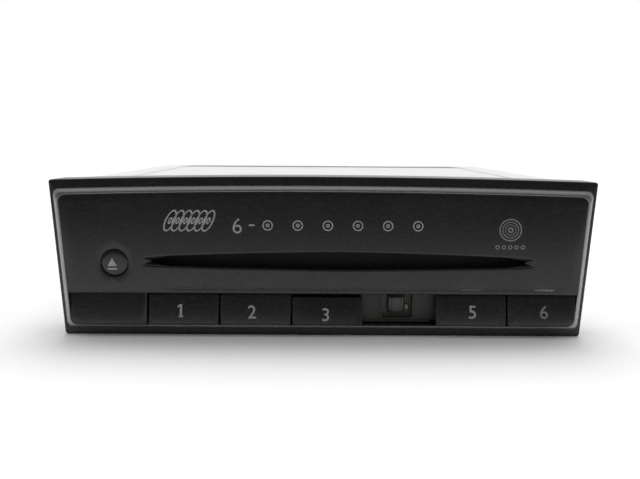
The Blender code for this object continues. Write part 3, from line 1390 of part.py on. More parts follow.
def disc_trays():
    """Thin frames that each hold one disc by its rim and climb the posts together."""
    half_width, half_length = TRAY_WIDTH / 2, TRAY_LENGTH / 2
    outlines = [rectangle(SLOT_X - half_width, DISC_CENTRE_Y - half_length, SLOT_X + half_width,
                          DISC_CENTRE_Y + half_length, TRAY_CORNER),
                circle(SLOT_X, DISC_CENTRE_Y, TRAY_HOLE_RADIUS, RING_STEPS)]
    outlines += [circle(x, y, POST_RADIUS + FIT, POST_STEPS) for x, y in post_places()]
    for i in range(TRAY_COUNT):
        high = DISC_Z - i * TRAY_PITCH
        tray = plate(f"disc_tray_{i + 1}", outlines, "Z", high - TRAY_THICKNESS, high,
                     (SLOT_X, DISC_CENTRE_Y))
        finish(tray, *GREY_PLASTIC)


def player_x(distance):
    """A place on the player's line, which runs to the left from the disc's centre."""
    return SLOT_X - distance


def rod_holder(name, x, y, radius):
    base = block(name, (x - HOLDER_THICKNESS / 2, y - HOLDER_WIDTH / 2, TRAVERSE_TOP_Z - EMBED),
                 (x + HOLDER_THICKNESS / 2, y + HOLDER_WIDTH / 2, TRAVERSE_TOP_Z + HOLDER_HEIGHT))
    bore = cylinder(name + "_bore", (x, y, ROD_Z), radius + FIT,
                    HOLDER_THICKNESS + 2 * OVERRUN, "X", SMALL_STEPS)
    cut(base, bore)
    return base


def rod_ends():
    near = player_x(ROD_START)
    return near, near - ROD_LENGTH


def traverse_plate():
    """The base that holds the spindle, the rods and the screw, with a window for the sled."""
    right = SLOT_X + TRAVERSE_LEAD
    left = right - TRAVERSE_LENGTH
    half = TRAVERSE_WIDTH / 2
    near, far = rod_ends()
    middle = (near + far) / 2
    window = rectangle(middle - SLED_WINDOW_LENGTH / 2, DISC_CENTRE_Y - SLED_WINDOW_WIDTH / 2,
                       middle + SLED_WINDOW_LENGTH / 2, DISC_CENTRE_Y + SLED_WINDOW_WIDTH / 2)
    base = plate("traverse_plate",
                 [rectangle(left, DISC_CENTRE_Y - half, right, DISC_CENTRE_Y + half,
                            TRAVERSE_CORNER), window], "Z", TRAVERSE_Z, TRAVERSE_TOP_Z)
    for i, x in enumerate((near - HOLDER_THICKNESS / 2, far + HOLDER_THICKNESS / 2)):
        for j, y in enumerate((-ROD_SPACING / 2, ROD_SPACING / 2)):
            join(base, rod_holder(f"rod_holder_{i + 1}_{j + 1}", x, DISC_CENTRE_Y + y, ROD_RADIUS))
    join(base, rod_holder("screw_holder", far + HOLDER_THICKNESS / 2,
                          DISC_CENTRE_Y + SCREW_OFFSET, LEAD_SCREW_RADIUS))
    finish(base, *STEEL)


def guide_rods():
    near, far = rod_ends()
    for i, side in enumerate((-1, 1)):
        rod = cylinder(f"guide_rod_{i + 1}",
                       ((near + far) / 2, DISC_CENTRE_Y + side * ROD_SPACING / 2, ROD_Z),
                       ROD_RADIUS, ROD_LENGTH, "X", SMALL_STEPS)
        finish(rod, *STEEL)


def lead_screw():
    near, far = rod_ends()
    end = near + SLED_MOTOR_LENGTH / 2
    screw = cylinder("lead_screw", ((end + far) / 2, DISC_CENTRE_Y + SCREW_OFFSET, ROD_Z),
                     LEAD_SCREW_RADIUS, end - far, "X", SMALL_STEPS)
    finish(screw, *STEEL)


def sled_motor():
    near, _ = rod_ends()
    middle = near + SLED_MOTOR_LENGTH / 2
    y = DISC_CENTRE_Y + SCREW_OFFSET
    motor = cylinder("sled_motor", (middle, y, ROD_Z), SLED_MOTOR_RADIUS, SLED_MOTOR_LENGTH, "X")
    bore = cylinder("sled_motor_bore", (near, y, ROD_Z), LEAD_SCREW_RADIUS + FIT,
                    SLED_MOTOR_LENGTH + 2 * OVERRUN, "X", SMALL_STEPS)
    cut(motor, bore)
    finish(motor, *STEEL)


def pickup_sled():
    """The laser sled slides on the rods, and a nut at its side follows the screw."""
    x = player_x(SLED_START + SLED_LENGTH / 2)
    low = ROD_Z - SLED_HEIGHT / 2
    high = ROD_Z + SLED_HEIGHT / 2
    front = DISC_CENTRE_Y - ROD_SPACING / 2 - SLED_NUT_WIDTH / 2
    rear = DISC_CENTRE_Y + ROD_SPACING / 2 + SLED_NUT_WIDTH / 2
    sled = block("pickup_sled", (x - SLED_LENGTH / 2, front, low), (x + SLED_LENGTH / 2, rear, high))
    nut = block("sled_nut", (x - SLED_LENGTH / 4, rear - EMBED, low),
                (x + SLED_LENGTH / 4, DISC_CENTRE_Y + SCREW_OFFSET + SLED_NUT_WIDTH / 2, high))
    join(sled, nut)
    for i, (y, radius) in enumerate(((-ROD_SPACING / 2, ROD_RADIUS), (ROD_SPACING / 2, ROD_RADIUS),
                                     (SCREW_OFFSET, LEAD_SCREW_RADIUS))):
        bore = cylinder(f"sled_bore_{i + 1}", (x, DISC_CENTRE_Y + y, ROD_Z),
                        radius + SLED_BORE_GAP, SLED_LENGTH + 2 * OVERRUN, "X", SMALL_STEPS)
        cut(sled, bore)
    lens = cylinder("sled_lens", (x, DISC_CENTRE_Y, high), LENS_RADIUS, 2 * LENS_HEIGHT, "Z",
                    SMALL_STEPS)
    join(sled, lens)
    finish(sled, *GREY_PLASTIC)


def spindle_motor():
    low = TRAVERSE_TOP_Z + FIT
    z = low + SPINDLE_MOTOR_HEIGHT / 2
    motor = cylinder("spindle_motor", (SLOT_X, DISC_CENTRE_Y, z), SPINDLE_MOTOR_RADIUS,
                     SPINDLE_MOTOR_HEIGHT, "Z")
    bore = cylinder("spindle_bore", (SLOT_X, DISC_CENTRE_Y, z), SPINDLE_RADIUS + FIT,
                    SPINDLE_MOTOR_HEIGHT + 2 * OVERRUN, "Z", SMALL_STEPS)
    cut(motor, bore)
    finish(motor, *STEEL)


def turntable():
    """A disc with a centring hub on a spindle that turns in the motor."""
    low = TRAVERSE_TOP_Z + SPINDLE_MOTOR_HEIGHT + 2 * FIT
    high = low + TURNTABLE_THICKNESS
    hub = TURNTABLE_HUB_HEIGHT
    profile = [(0, high + hub), (TURNTABLE_HUB_RADIUS - hub, high + hub),
               (TURNTABLE_HUB_RADIUS, high), (TURNTABLE_RADIUS, high), (TURNTABLE_RADIUS, low),
               (SPINDLE_RADIUS, low), (SPINDLE_RADIUS, TRAVERSE_TOP_Z + FIT),
               (0, TRAVERSE_TOP_Z + FIT)]
    profile = [(radius, height - low) for radius, height in profile]
    table = turned("turntable", profile, (SLOT_X, DISC_CENTRE_Y, low), "Z")
    finish(table, *DARK_PLASTIC)


def build():
    global PARTS, CUTTERS
    clear_scene()
    PARTS = make_collection("disc_changer")
    CUTTERS = make_collection("cutters")
    chassis_tray()
    top_cover()
    cover_screws()
    front_plate()
    rear_plate()
    main_board()
    rear_connector()
    heat_sink()
    capacitors()
    loading_frame()
    loading_roller()
    gear_train()
    loading_motor()
    disc_guide()
    mechanism_deck()
    dampers()
    lift_posts()
    disc_trays()
    traverse_plate()
    guide_rods()
    lead_screw()
    sled_motor()
    pickup_sled()
    spindle_motor()
    turntable()
    dust_flap()
    key_board()
    bay_switch()
    key_guide()
    light_guide()
    for number in range(1, KEY_COUNT + 1):
        if number != MISSING_KEY:
            selector_key(number)
    eject_button()
    trim_frame()
    front_bezel()


build()
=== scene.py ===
import json
import math

import bmesh
import bpy
from mathutils import Matrix, Vector
from mathutils.geometry import delaunay_2d_cdt

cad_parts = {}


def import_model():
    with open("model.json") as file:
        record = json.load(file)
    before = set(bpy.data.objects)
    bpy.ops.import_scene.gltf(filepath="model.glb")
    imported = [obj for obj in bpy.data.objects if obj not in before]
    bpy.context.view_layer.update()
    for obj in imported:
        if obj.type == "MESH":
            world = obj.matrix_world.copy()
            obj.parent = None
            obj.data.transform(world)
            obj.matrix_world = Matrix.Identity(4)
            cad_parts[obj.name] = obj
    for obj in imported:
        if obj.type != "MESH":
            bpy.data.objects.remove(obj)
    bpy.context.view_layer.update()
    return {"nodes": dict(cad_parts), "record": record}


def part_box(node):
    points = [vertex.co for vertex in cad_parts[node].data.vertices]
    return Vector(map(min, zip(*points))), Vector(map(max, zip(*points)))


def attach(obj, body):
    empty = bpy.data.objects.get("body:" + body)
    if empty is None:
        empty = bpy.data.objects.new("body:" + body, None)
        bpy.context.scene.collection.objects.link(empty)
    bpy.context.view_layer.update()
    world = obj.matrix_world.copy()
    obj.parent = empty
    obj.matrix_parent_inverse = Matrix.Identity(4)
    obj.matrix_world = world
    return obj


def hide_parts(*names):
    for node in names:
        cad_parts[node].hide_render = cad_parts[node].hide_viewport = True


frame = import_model()

MM = 0.001

# Sizes of the front in metres, most of them the part's
FACE_HEIGHT = 0.0526
FACE_TOP_WIDTH = 0.183
FACE_BOTTOM_WIDTH = 0.1755
FACE_CROWN = 0.0014
FACE_CORNER = 0.0009
BEZEL_WALL = 0.002
PANEL_Y = -0.091775
FLANGE_Y = -0.089375
FLANGE_BACK_Y = -0.087175
BEZEL_BACK_Y = -0.075375
FIT = 0.0003
PANEL_SIDE = 0.0033
PANEL_BOTTOM = 0.0040
PANEL_TOP = 0.0049
PANEL_CORNER = 0.0025
PANEL_WALL = 0.002
PANEL_BULGE = 0.00115
PANEL_STEP = 0.00012
PANEL_EDGE = 0.00045
KEY_FOOT = 0.0011
KEY_HEAD = 0.0006
KEY_CURVE = 1.35
SIDE_MARGIN = 0.0012
BOTTOM_MARGIN = 0.0026
TOP_MARGIN = 0.0028
TRIM_CORNER = 0.0022
KEY_ROW_TOP = 0.0150
KEY_ROW_LEFT = -0.0588
KEY_PITCH = 0.02414
KEY_COUNT = 6
MISSING_KEY = 4
LOW_KEY = 3
LOW_KEY_DROP = 0.0009
KEY_GAP = 0.0006
KEY_CORNER = 0.0004
KEY_WALL = 0.0012
KEY_BOTTOM_Z = 0.0043
KEY_TOP_Z = 0.0147
KEY_MIDDLE_Z = 0.0095
KEY_CAVITY_Y = -0.090375
KEY_BACK_Y = -0.086275
KEY_LIP_Y = -0.086875
KEY_STEM = 0.0030
STEM_END_Y = -0.084475
SLOT_X = 0.0051
SLOT_Z = 0.0256
SLOT_WIDTH = 0.1302
SLOT_RISE = (0.0035, 0.00165)
SLOT_FALL = (0.0024, 0.00125)
SLOT_NOSE = 0.0060
SLOT_TIP = 0.75
SLOT_APEX = 0.08
SLOT_EDGE = 0.00045
SLOT_GUARD = 0.0002
SLOT_RAMP = 0.0030
SLOT_RAMP_DEPTH = 0.0014
EJECT_X = -0.0693
EJECT_Z = 0.0252
EJECT_RADIUS = 0.00445
EJECT_FRONT_Y = -0.092575
EJECT_DOME = 0.0002
EJECT_RIM = 0.00025
EJECT_LEAN = 0.00025
EJECT_GAP = 0.00012
BAR_WIDTH = 0.0066
BAR_HEIGHT = 0.0006
BAR_Z = 0.0167
BAR_GAP = 0.00005
BOSS_X = 0.079
BOSS_Z = 0.0408
HOOK_X = 0.050
KEY_GUIDE_Y = -0.085175
SWITCH_FRONT_Y = -0.082675
KEY_BOARD_Y = -0.079575

# The trim's section: the share of its width from outside in, and of its height
TRIM_PROFILE = ((0.0, 0.08), (0.03, 0.16), (0.09, 0.27), (0.19, 0.42), (0.30, 0.56), (0.41, 0.69),
                (0.52, 0.80), (0.63, 0.885), (0.74, 0.945), (0.85, 0.98), (0.94, 0.997),
                (0.985, 0.985), (1.0, 0.93))

# How finely the front is divided
CORNER_STEPS = 10
CROWN_STEPS = 40
SLOT_STEPS = 60
CIRCLE_STEPS = 64
EDGE_STEPS = 4
QUARTER = [math.pi / 2 * step / EDGE_STEPS for step in range(EDGE_STEPS + 1)]
PANEL_SPACING = (0.0045, 0.0015)
KEY_SPACING = (0.003, 0.0009)
SLICE = 0.00035
WELD_REACH = 1e-6
INK_RISE = 0.000025
INK_ROOT = 0.00006

# Printed marks, in millimetres
EJECT_SIGN_X, EJECT_SIGN_HALF = -70.1, 1.55
EJECT_ARROW_Z = (24.1, 26.8)
EJECT_BAR_Z = (22.9, 23.45)
EJECT_STRIPS = 6
STACK_X, STACK_Z, STACK_PITCH = -50.6, 39.4, 2.53
STACK_BANDS = (((1.75, 3.6), (1.25, 3.1)), ((0.62, 1.15), (0.25, 0.6)))
SLANT = 0.42
COUNT_X, COUNT_Z, COUNT_HEIGHT = -28.45, 37.8, 5.0
DASH = (-24.6, 37.75, -22.7, 38.3)
DISC_ROW_X, DISC_ROW_Z, DISC_ROW_PITCH = -18.4, 38.0, 9.96
DISC_X, DISC_Z = 62.0, 36.9
DISC_BANDS = ((3.75, 3.35), (2.75, 2.45), (1.85, 1.6), (0.95, 0.45))
DOT_Z, DOT_PITCH, DOT_COUNT = 31.2, 2.1, 5
NUMERAL_HEIGHT = 4.3
NUMERALS = {1: (-47.6, 9.0), 2: (-23.75, 8.7), 3: (1.0, 7.9), 5: (50.3, 9.0), 6: (74.4, 9.1)}
ONE_PARTS = (((-0.8, -2.15), (0.8, -2.15), (0.8, -1.7), (0.36, -1.7), (-0.36, -1.7), (-0.8, -1.7)),
             ((-0.36, -1.7), (0.36, -1.7), (0.36, 2.15), (-0.36, 2.15), (-0.36, 1.35)),
             ((-0.36, 1.35), (-0.36, 2.15), (-1.1, 1.6), (-1.1, 0.95)))

# Camera: place in metres, turns in degrees, lens in millimetres
CAMERA_PLACE = (-0.00156, -0.330505, 0.06577)
CAMERA_PITCH, CAMERA_YAW, CAMERA_ROLL = 7.74, 0.12, 0.35
CAMERA_LENS = 40.80

# Levels of the surroundings, where 1 is white, and the table's reach towards the viewer
TABLE_REACH = 0.42
FRONT_LEVEL = 0.08
BACK_LEVEL = 0.8
ZENITH_LEVEL = 0.35
SKY_LEVEL = 0.95

# Lamps: azimuth, elevation, share of full level, spread; angles in degrees
LAMPS = {"key_lamp": (5, 62, 0.53, 42), "left_lamp": (-82, 42, 0.115, 60),
         "right_lamp": (82, 42, 0.115, 60), "front_fill": (180, 20, 0.05, 40)}


# Materials


def feed(tree, value, socket):
    if isinstance(value, bpy.types.NodeSocket):
        tree.links.new(value, socket)
    else:
        socket.default_value = value


def node(tree, kind, inputs=None, **settings):
    made = tree.nodes.new(kind)
    for key, value in settings.items():
        setattr(made, key, value)
    for key, value in (inputs or {}).items():
        feed(tree, value, made.inputs[key])
    return made


def own_place(tree):
    """The place of a point in its piece's own axes."""
    return node(tree, "ShaderNodeTexCoord").outputs["Object"]


def noise(tree, scale, detail=2.0, stretch=(1, 1, 1)):
    """A noise value over the piece's own place, drawn out along its axes by stretch."""
    place = own_place(tree)
    if stretch != (1, 1, 1):
        place = node(tree, "ShaderNodeMapping", {"Vector": place, "Scale": stretch}).outputs[0]
    made = node(tree, "ShaderNodeTexNoise", {"Vector": place, "Scale": scale, "Detail": detail})
    return made.outputs[0]


def remap(tree, value, low, high, to_low=0.0, to_high=1.0):
    made = node(tree, "ShaderNodeMapRange", {0: value, 1: low, 2: high, 3: to_low, 4: to_high})
    return made.outputs[0]


def reckon(tree, operation, a, b=0.0):
    return node(tree, "ShaderNodeMath", {0: a, 1: b}, operation=operation).outputs[0]


def blend_colours(tree, share, first, second):
    first = first if isinstance(first, bpy.types.NodeSocket) else (*first, 1)
    second = second if isinstance(second, bpy.types.NodeSocket) else (*second, 1)
    made = node(tree, "ShaderNodeMix", {0: share, 6: first, 7: second}, data_type="RGBA")
    return made.outputs[2]


def bump(tree, height, distance):
    inputs = {"Height": height, "Distance": distance, "Strength": 1.0}
    return node(tree, "ShaderNodeBump", inputs).outputs[0]


def start(name):
    material = bpy.data.materials.new(name)
    material.use_nodes = True
    tree = material.node_tree
    shader = tree.nodes["Principled BSDF"]
    return material, tree, shader


def cover(tree, shader, colour, roughness, *relief):
    """Feeds a shader its colour, its roughness and, where given, a relief and its depth."""
    feed(tree, colour, shader.inputs["Base Color"])
    feed(tree, roughness, shader.inputs["Roughness"])
    if relief:
        feed(tree, bump(tree, *relief), shader.inputs["Normal"])


def moulded(name, tones, roughness, grain=(5200, 0.000008), dust=0.0, sheen=0.5):
    """Moulded plastic: two tones, grain, uneven gloss, fine dust."""
    material, tree, shader = start(name)
    cloud = noise(tree, 90, 4)
    colour = blend_colours(tree, remap(tree, cloud, 0.35, 0.65), *tones)
    if dust:
        specks = remap(tree, noise(tree, 2600, 1), 0.74, 0.80)
        patches = remap(tree, noise(tree, 60, 3), 0.45, 0.7)
        colour = blend_colours(tree, reckon(tree, "MULTIPLY", specks, patches), colour, (dust,) * 3)
    rub = remap(tree, noise(tree, 420, 3, (1, 1, 6)), 0.3, 0.7, *roughness)
    cover(tree, shader, colour, rub, noise(tree, grain[0], 2), grain[1])
    shader.inputs["Specular IOR Level"].default_value = sheen
    return material


def metal(name, tones, roughness, stretch=(1, 1, 1)):
    """Bare or coated metal with drawn-out marks and duller patches."""
    material, tree, shader = start(name)
    marks = noise(tree, 700, 4, stretch)
    colour = blend_colours(tree, remap(tree, marks, 0.3, 0.7), *tones)
    dull = reckon(tree, "ADD", reckon(tree, "MULTIPLY", noise(tree, 45, 3), 0.5),
                  reckon(tree, "MULTIPLY", marks, 0.5))
    cover(tree, shader, colour, remap(tree, dull, 0.35, 0.65, *roughness),
          noise(tree, 3000, 2, stretch), 0.000006)
    shader.inputs["Metallic"].default_value = 1.0
    return material


def zinc_sheet():
    """Zinc-coated sheet with its crystal spangle, fingerprints and fine scratches."""
    material, tree, shader = start("zinc_sheet")
    place = own_place(tree)
    warp = node(tree, "ShaderNodeTexNoise", {"Vector": place, "Scale": 240.0, "Detail": 3.0})
    bent = node(tree, "ShaderNodeMix", {0: 0.0022, 4: place, 5: warp.outputs[1]},
                data_type="VECTOR")
    crystals = node(tree, "ShaderNodeTexVoronoi", {"Vector": bent.outputs[1], "Scale": 620.0})
    tone = node(tree, "ShaderNodeSeparateColor", {0: crystals.outputs["Color"]}).outputs[0]
    scratches = noise(tree, 900, 3, (1, 0.04, 1))
    shade = reckon(tree, "ADD", reckon(tree, "MULTIPLY", tone, 0.6),
                   reckon(tree, "MULTIPLY", scratches, 0.4))
    colour = blend_colours(tree, shade, (0.74, 0.745, 0.74), (0.86, 0.86, 0.845))
    smudge = remap(tree, noise(tree, 28, 4), 0.55, 0.75, 0.0, 0.35)
    colour = blend_colours(tree, smudge, colour, (0.52, 0.515, 0.49))
    gloss = reckon(tree, "ADD", remap(tree, tone, 0.0, 1.0, 0.31, 0.37),
                   reckon(tree, "MULTIPLY", smudge, 0.3))
    cover(tree, shader, colour, gloss, scratches, 0.000006)
    shader.inputs["Metallic"].default_value = 0.65
    return material


def board_lacquer(name, dark, light):
    """Lacquered board with copper lines under the lacquer."""
    material, tree, shader = start(name)
    place = own_place(tree)
    cells = node(tree, "ShaderNodeTexVoronoi", {"Vector": place, "Scale": 210.0, "Randomness": 0.8},
                 feature="F1", distance="MANHATTAN")
    lines = reckon(tree, "PINGPONG", cells.outputs["Distance"], 0.09)
    traces = remap(tree, lines, 0.040, 0.048)
    colour = blend_colours(tree, traces, dark, light)
    colour = blend_colours(tree, remap(tree, noise(tree, 60, 3), 0.4, 0.7, 0.0, 0.6), colour, dark)
    cover(tree, shader, colour, remap(tree, noise(tree, 300, 2), 0.3, 0.7, 0.28, 0.42),
          traces, 0.00003)
    return material


def smoked_guide():
    """Smoked clear moulding with painted light: the bars are painted lighter towards the right, in
    place of light showing through them.
    """
    material, tree, shader = start("smoked_guide")
    place = own_place(tree)
    # painted light: the colour runs from dark to light grey along x, so the bars on the right look
    # lit through
    across = node(tree, "ShaderNodeSeparateXYZ", {0: place}).outputs[0]
    share = remap(tree, across, 0.015, 0.078, 0.0, 1.0)
    share = reckon(tree, "MULTIPLY", share, share)
    colour = blend_colours(tree, share, (0.012, 0.012, 0.012), (0.15, 0.15, 0.145))
    colour = blend_colours(tree, remap(tree, noise(tree, 700, 2), 0.4, 0.6, 0.0, 0.25), colour,
                           (0.03, 0.03, 0.03))
    cover(tree, shader, colour, remap(tree, noise(tree, 500, 2), 0.3, 0.7, 0.30, 0.45))
    return material


def ink(name, tone):
    """Printed ink, a little thinner in places."""
    material, tree, shader = start(name)
    worn = remap(tree, noise(tree, 2400, 3), 0.40, 0.68, 0.0, 0.5)
    colour = blend_colours(tree, worn, (tone, tone, tone * 0.97), (tone * 0.5,) * 3)
    cover(tree, shader, colour, remap(tree, noise(tree, 900, 2), 0.3, 0.7, 0.42, 0.58))
    return material


FINISHES = {
    "bezel": moulded("face_plastic", ((0.0065, 0.0067, 0.0063), (0.0085, 0.0087, 0.0082)),
                     (0.24, 0.32), dust=0.035),
    "keys": moulded("key_plastic", ((0.0065, 0.0067, 0.0063), (0.0083, 0.0085, 0.0080)),
                    (0.22, 0.30), dust=0.03),
    "dark_moulding": moulded("inner_plastic", ((0.038, 0.039, 0.036), (0.052, 0.053, 0.049)),
                             (0.50, 0.62), dust=0.08),
    "grey_plastic": moulded("grey_moulding", ((0.20, 0.205, 0.20), (0.25, 0.25, 0.24)),
                            (0.42, 0.55)),
    "ivory": moulded("ivory_moulding", ((0.56, 0.53, 0.45), (0.65, 0.62, 0.54)), (0.38, 0.50)),
    "rubber": moulded("soft_rubber", ((0.022, 0.022, 0.022), (0.036, 0.036, 0.035)),
                      (0.74, 0.88), grain=(3000, 0.00002)),
    "trim": metal("satin_trim", ((0.27, 0.275, 0.27), (0.32, 0.32, 0.315)), (0.32, 0.42)),
    "steel": metal("plain_steel", ((0.44, 0.44, 0.45), (0.60, 0.60, 0.60)), (0.24, 0.38),
                   (1, 0.05, 1)),
    "aluminium": metal("drawn_aluminium", ((0.62, 0.62, 0.63), (0.76, 0.76, 0.76)), (0.30, 0.42),
                       (0.06, 1, 1)),
    "sheet": zinc_sheet(),
    "board": board_lacquer("board_lacquer", (0.010, 0.055, 0.030), (0.026, 0.115, 0.060)),
    "indicator": smoked_guide(),
}
PRINT = ink("grey_print", 0.31)
DIM_PRINT = ink("dim_print", 0.185)


# Building blocks


def link(name, data):
    """A new object in the scene."""
    item = bpy.data.objects.new(name, data)
    bpy.context.scene.collection.objects.link(item)
    return item


def mesh_of(shape, name):
    """A mesh whose faces look outward, from a bmesh that is used up."""
    bmesh.ops.recalc_face_normals(shape, faces=shape.faces)
    mesh = bpy.data.meshes.new(name)
    shape.to_mesh(mesh)
    shape.free()
    return mesh


def weld(shape):
    """Joins the points that lie on one another."""
    bmesh.ops.remove_doubles(shape, verts=shape.verts[:], dist=WELD_REACH)


def evaluated(item):
    """A bmesh of an object's final shape; the object is removed."""
    bpy.context.view_layer.update()
    graph = bpy.context.evaluated_depsgraph_get()
    shape = bmesh.new()
    shape.from_mesh(bpy.data.meshes.new_from_object(item.evaluated_get(graph)))
    bpy.data.objects.remove(item)
    return shape


def piece(name, shape, slot, body, nodes=(), smooth=32, material=None):
    """A finished piece from a bmesh, on its body, in place of the CAD nodes named."""
    mesh = mesh_of(shape, name)
    mesh.shade_smooth()
    mesh.set_sharp_from_angle(angle=math.radians(smooth))
    mesh.materials.append(material or FINISHES[slot])
    item = link(name, mesh)
    if nodes:
        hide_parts(*nodes)
    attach(item, body)


def add_ring(shape, outline, depth):
    """Points of an outline in x and z, at a depth that may follow the place."""
    points = []
    for x, z in outline:
        y = depth(x, z) if callable(depth) else depth
        points.append(shape.verts.new((x, y, z)))
    return points


def bridge(shape, first, second):
    count = len(first)
    for i in range(count):
        j = (i + 1) % count
        shape.faces.new((first[i], first[j], second[j], second[i]))


def add_chain(shape, rings, closed=False):
    for first, second in zip(rings, rings[1:]):
        bridge(shape, first, second)
    if closed:
        bridge(shape, rings[-1], rings[0])


def add_box(shape, low, high, edge=0.0, segments=2):
    """A block, its edges rounded where an edge radius is given."""
    low, high = Vector(low), Vector(high)
    place = Matrix.Translation((low + high) / 2) @ Matrix.Diagonal((*(high - low), 1))
    made = bmesh.ops.create_cube(shape, size=1, matrix=place)
    if edge:
        edges = list({e for v in made["verts"] for e in v.link_edges})
        bmesh.ops.bevel(shape, geom=edges, offset=edge, segments=segments, affect="EDGES",
                        profile=0.5)


AXES = {"X": (Vector((1, 0, 0)), Vector((0, 1, 0)), Vector((0, 0, 1))),
        "Y": (Vector((0, 1, 0)), Vector((0, 0, 1)), Vector((1, 0, 0))),
        "Z": (Vector((0, 0, 1)), Vector((1, 0, 0)), Vector((0, 1, 0)))}


def add_turned(shape, profile, centre, axis, steps=40):
    """A profile of radius and distance along the axis, turned; it starts and ends on the axis."""
    along, side, up = AXES[axis]
    centre = Vector(centre)
    rings = []
    for radius, distance in profile:
        middle = centre + along * distance
        if radius == 0:
            rings.append([shape.verts.new(middle)])
            continue
        rings.append([shape.verts.new(middle + (side * a + up * b) * radius)
                      for a, b in circle(0, 0, 1, steps)])
    for first, second in zip(rings, rings[1:]):
        if len(first) > 1 and len(second) > 1:
            bridge(shape, first, second)
            continue
        tip, ring = (first[0], second) if len(first) == 1 else (second[0], first)
        for i in range(steps):
            shape.faces.new((tip, ring[i], ring[(i + 1) % steps]))


def offset(outline, distance):
    """An outline that runs counter-clockwise, moved outward."""
    moved = []
    count = len(outline)
    for i in range(count):
        here = Vector(outline[i])
        back = (here - Vector(outline[i - 1])).normalized()
        ahead = (Vector(outline[(i + 1) % count]) - here).normalized()
        normal = Vector((back.y + ahead.y, -back.x - ahead.x)).normalized()
        reach = distance / max(normal.dot(Vector((back.y, -back.x))), 0.5)
        moved.append(tuple(here + normal * reach))
    return moved


def inside(x, z, outline):
    found = False
    for (x0, z0), (x1, z1) in zip(outline, outline[1:] + outline[:1]):
        if (z0 > z) != (z1 > z) and x < x0 + (z - z0) * (x1 - x0) / (z1 - z0):
            found = not found
    return found


def near_edge(x, z, outline, gap):
    for (x0, z0), (x1, z1) in zip(outline, outline[1:] + outline[:1]):
        length = (x1 - x0) ** 2 + (z1 - z0) ** 2
        share = 0.0
        if length:
            share = max(0.0, min(1.0, ((x - x0) * (x1 - x0) + (z - z0) * (z1 - z0)) / length))
        if math.hypot(x - x0 - share * (x1 - x0), z - z0 - share * (z1 - z0)) < gap:
            return True
    return False


def fill(shape, outline, holes, depth, spacing, lines=()):
    """Triangles between an outline and its holes; returns the rims' points, outline first."""
    points, edges = [], []
    for loop in (outline, *holes):
        first = len(points)
        points += [Vector(p) for p in loop]
        edges += [(first + i, first + (i + 1) % len(loop)) for i in range(len(loop))]
    for line in lines:
        first = len(points)
        points += [Vector(p) for p in line]
        edges += [(first + i, first + i + 1) for i in range(len(line) - 1)]
    xs, zs = zip(*outline)
    left, low = min(xs), min(zs)
    width, height = max(xs) - left, max(zs) - low
    columns, rows = int(width / spacing[0]), int(height / spacing[1])
    gap = min(spacing) * 0.55
    for row in range(1, rows + 1):
        z = low + row * height / (rows + 1)
        for column in range(1, columns + 1):
            x = left + (column + 0.5 * (row % 2)) * width / (columns + 1.5)
            if any(abs(z - line[0][1]) < gap for line in lines):
                continue
            if not inside(x, z, outline) or near_edge(x, z, outline, gap):
                continue
            if any(inside(x, z, hole) or near_edge(x, z, hole, gap) for hole in holes):
                continue
            points.append(Vector((x, z)))
    made = delaunay_2d_cdt(points, edges, [], 0, 1e-9)
    places, triangles, sources = made[0], made[2], made[3]
    shape_points = [shape.verts.new((x, depth(x, z) if callable(depth) else depth, z))
                    for x, z in places]
    by_source = {}
    for index, origins in enumerate(sources):
        for origin in origins:
            by_source[origin] = shape_points[index]
    for triangle in triangles:
        x = sum(places[i][0] for i in triangle) / 3
        z = sum(places[i][1] for i in triangle) / 3
        if inside(x, z, outline) and not any(inside(x, z, hole) for hole in holes):
            shape.faces.new([shape_points[i] for i in triangle])
    for point in [p for p in shape_points if not p.link_faces]:
        shape.verts.remove(point)
    rims, first = [], 0
    for loop in (outline, *holes):
        rims.append([by_source[first + i] for i in range(len(loop))])
        first += len(loop)
    return rims


def edge_loops(outline, radius, side):
    """Outlines and drops that round an edge, from the flat face to the wall."""
    return [(offset(outline, side * radius * (math.sin(turn) - 1)), radius * (1 - math.cos(turn)))
            for turn in QUARTER]


def sink(depth, drop):
    """A depth that lies further back than another by a drop, which may follow the place."""
    if callable(drop):
        return lambda x, z: depth(x, z) + drop(x, z)
    return lambda x, z: depth(x, z) + drop


def rim_rings(shape, rim, loop, depth, back, pocket=None):
    """The rim's rounded edge and its wall, down to the back, or out into a pocket first."""
    rings = [rim] + [add_ring(shape, outline, sink(depth, drop)) for outline, drop in loop[1:]]
    if pocket:
        for outline in (loop[-1][0], pocket):
            rings.append(add_ring(shape, outline, PANEL_Y + PANEL_WALL))
    rings.append(add_ring(shape, pocket or loop[-1][0], back))
    add_chain(shape, rings)
    return rings[-1]


def slab(shape, loops, depth, back, spacing, lines=(), pockets=None):
    """A closed slab with rounded front edges; the first loop is its outline's."""
    pockets = pockets or {}
    front = [loop[0][0] for loop in loops]
    behind = [pockets.get(i, outline) for i, outline in enumerate(front)]
    rims = fill(shape, front[0], front[1:], depth, spacing, lines)
    back_rims = fill(shape, behind[0], behind[1:], back, (spacing[0] * 3, spacing[1] * 4))
    for i, (loop, rim, back_rim) in enumerate(zip(loops, rims, back_rims)):
        bridge(shape, rim_rings(shape, rim, loop, depth, back, pockets.get(i)), back_rim)


# Outlines in x and z, counter-clockwise


def arc_corner(before, corner, after, radius, steps):
    here = Vector(corner)
    back = (Vector(before) - here).normalized()
    ahead = (Vector(after) - here).normalized()
    half = back.angle(ahead) / 2
    middle = here + (back + ahead).normalized() * (radius / math.sin(half))
    begin = here + back * (radius / math.tan(half)) - middle
    end = here + ahead * (radius / math.tan(half)) - middle
    sweep = begin.angle_signed(end)
    first = math.atan2(begin.y, begin.x)
    points = []
    for i in range(steps + 1):
        angle = first - sweep * i / steps
        points.append((middle.x + radius * math.cos(angle), middle.y + radius * math.sin(angle)))
    return points


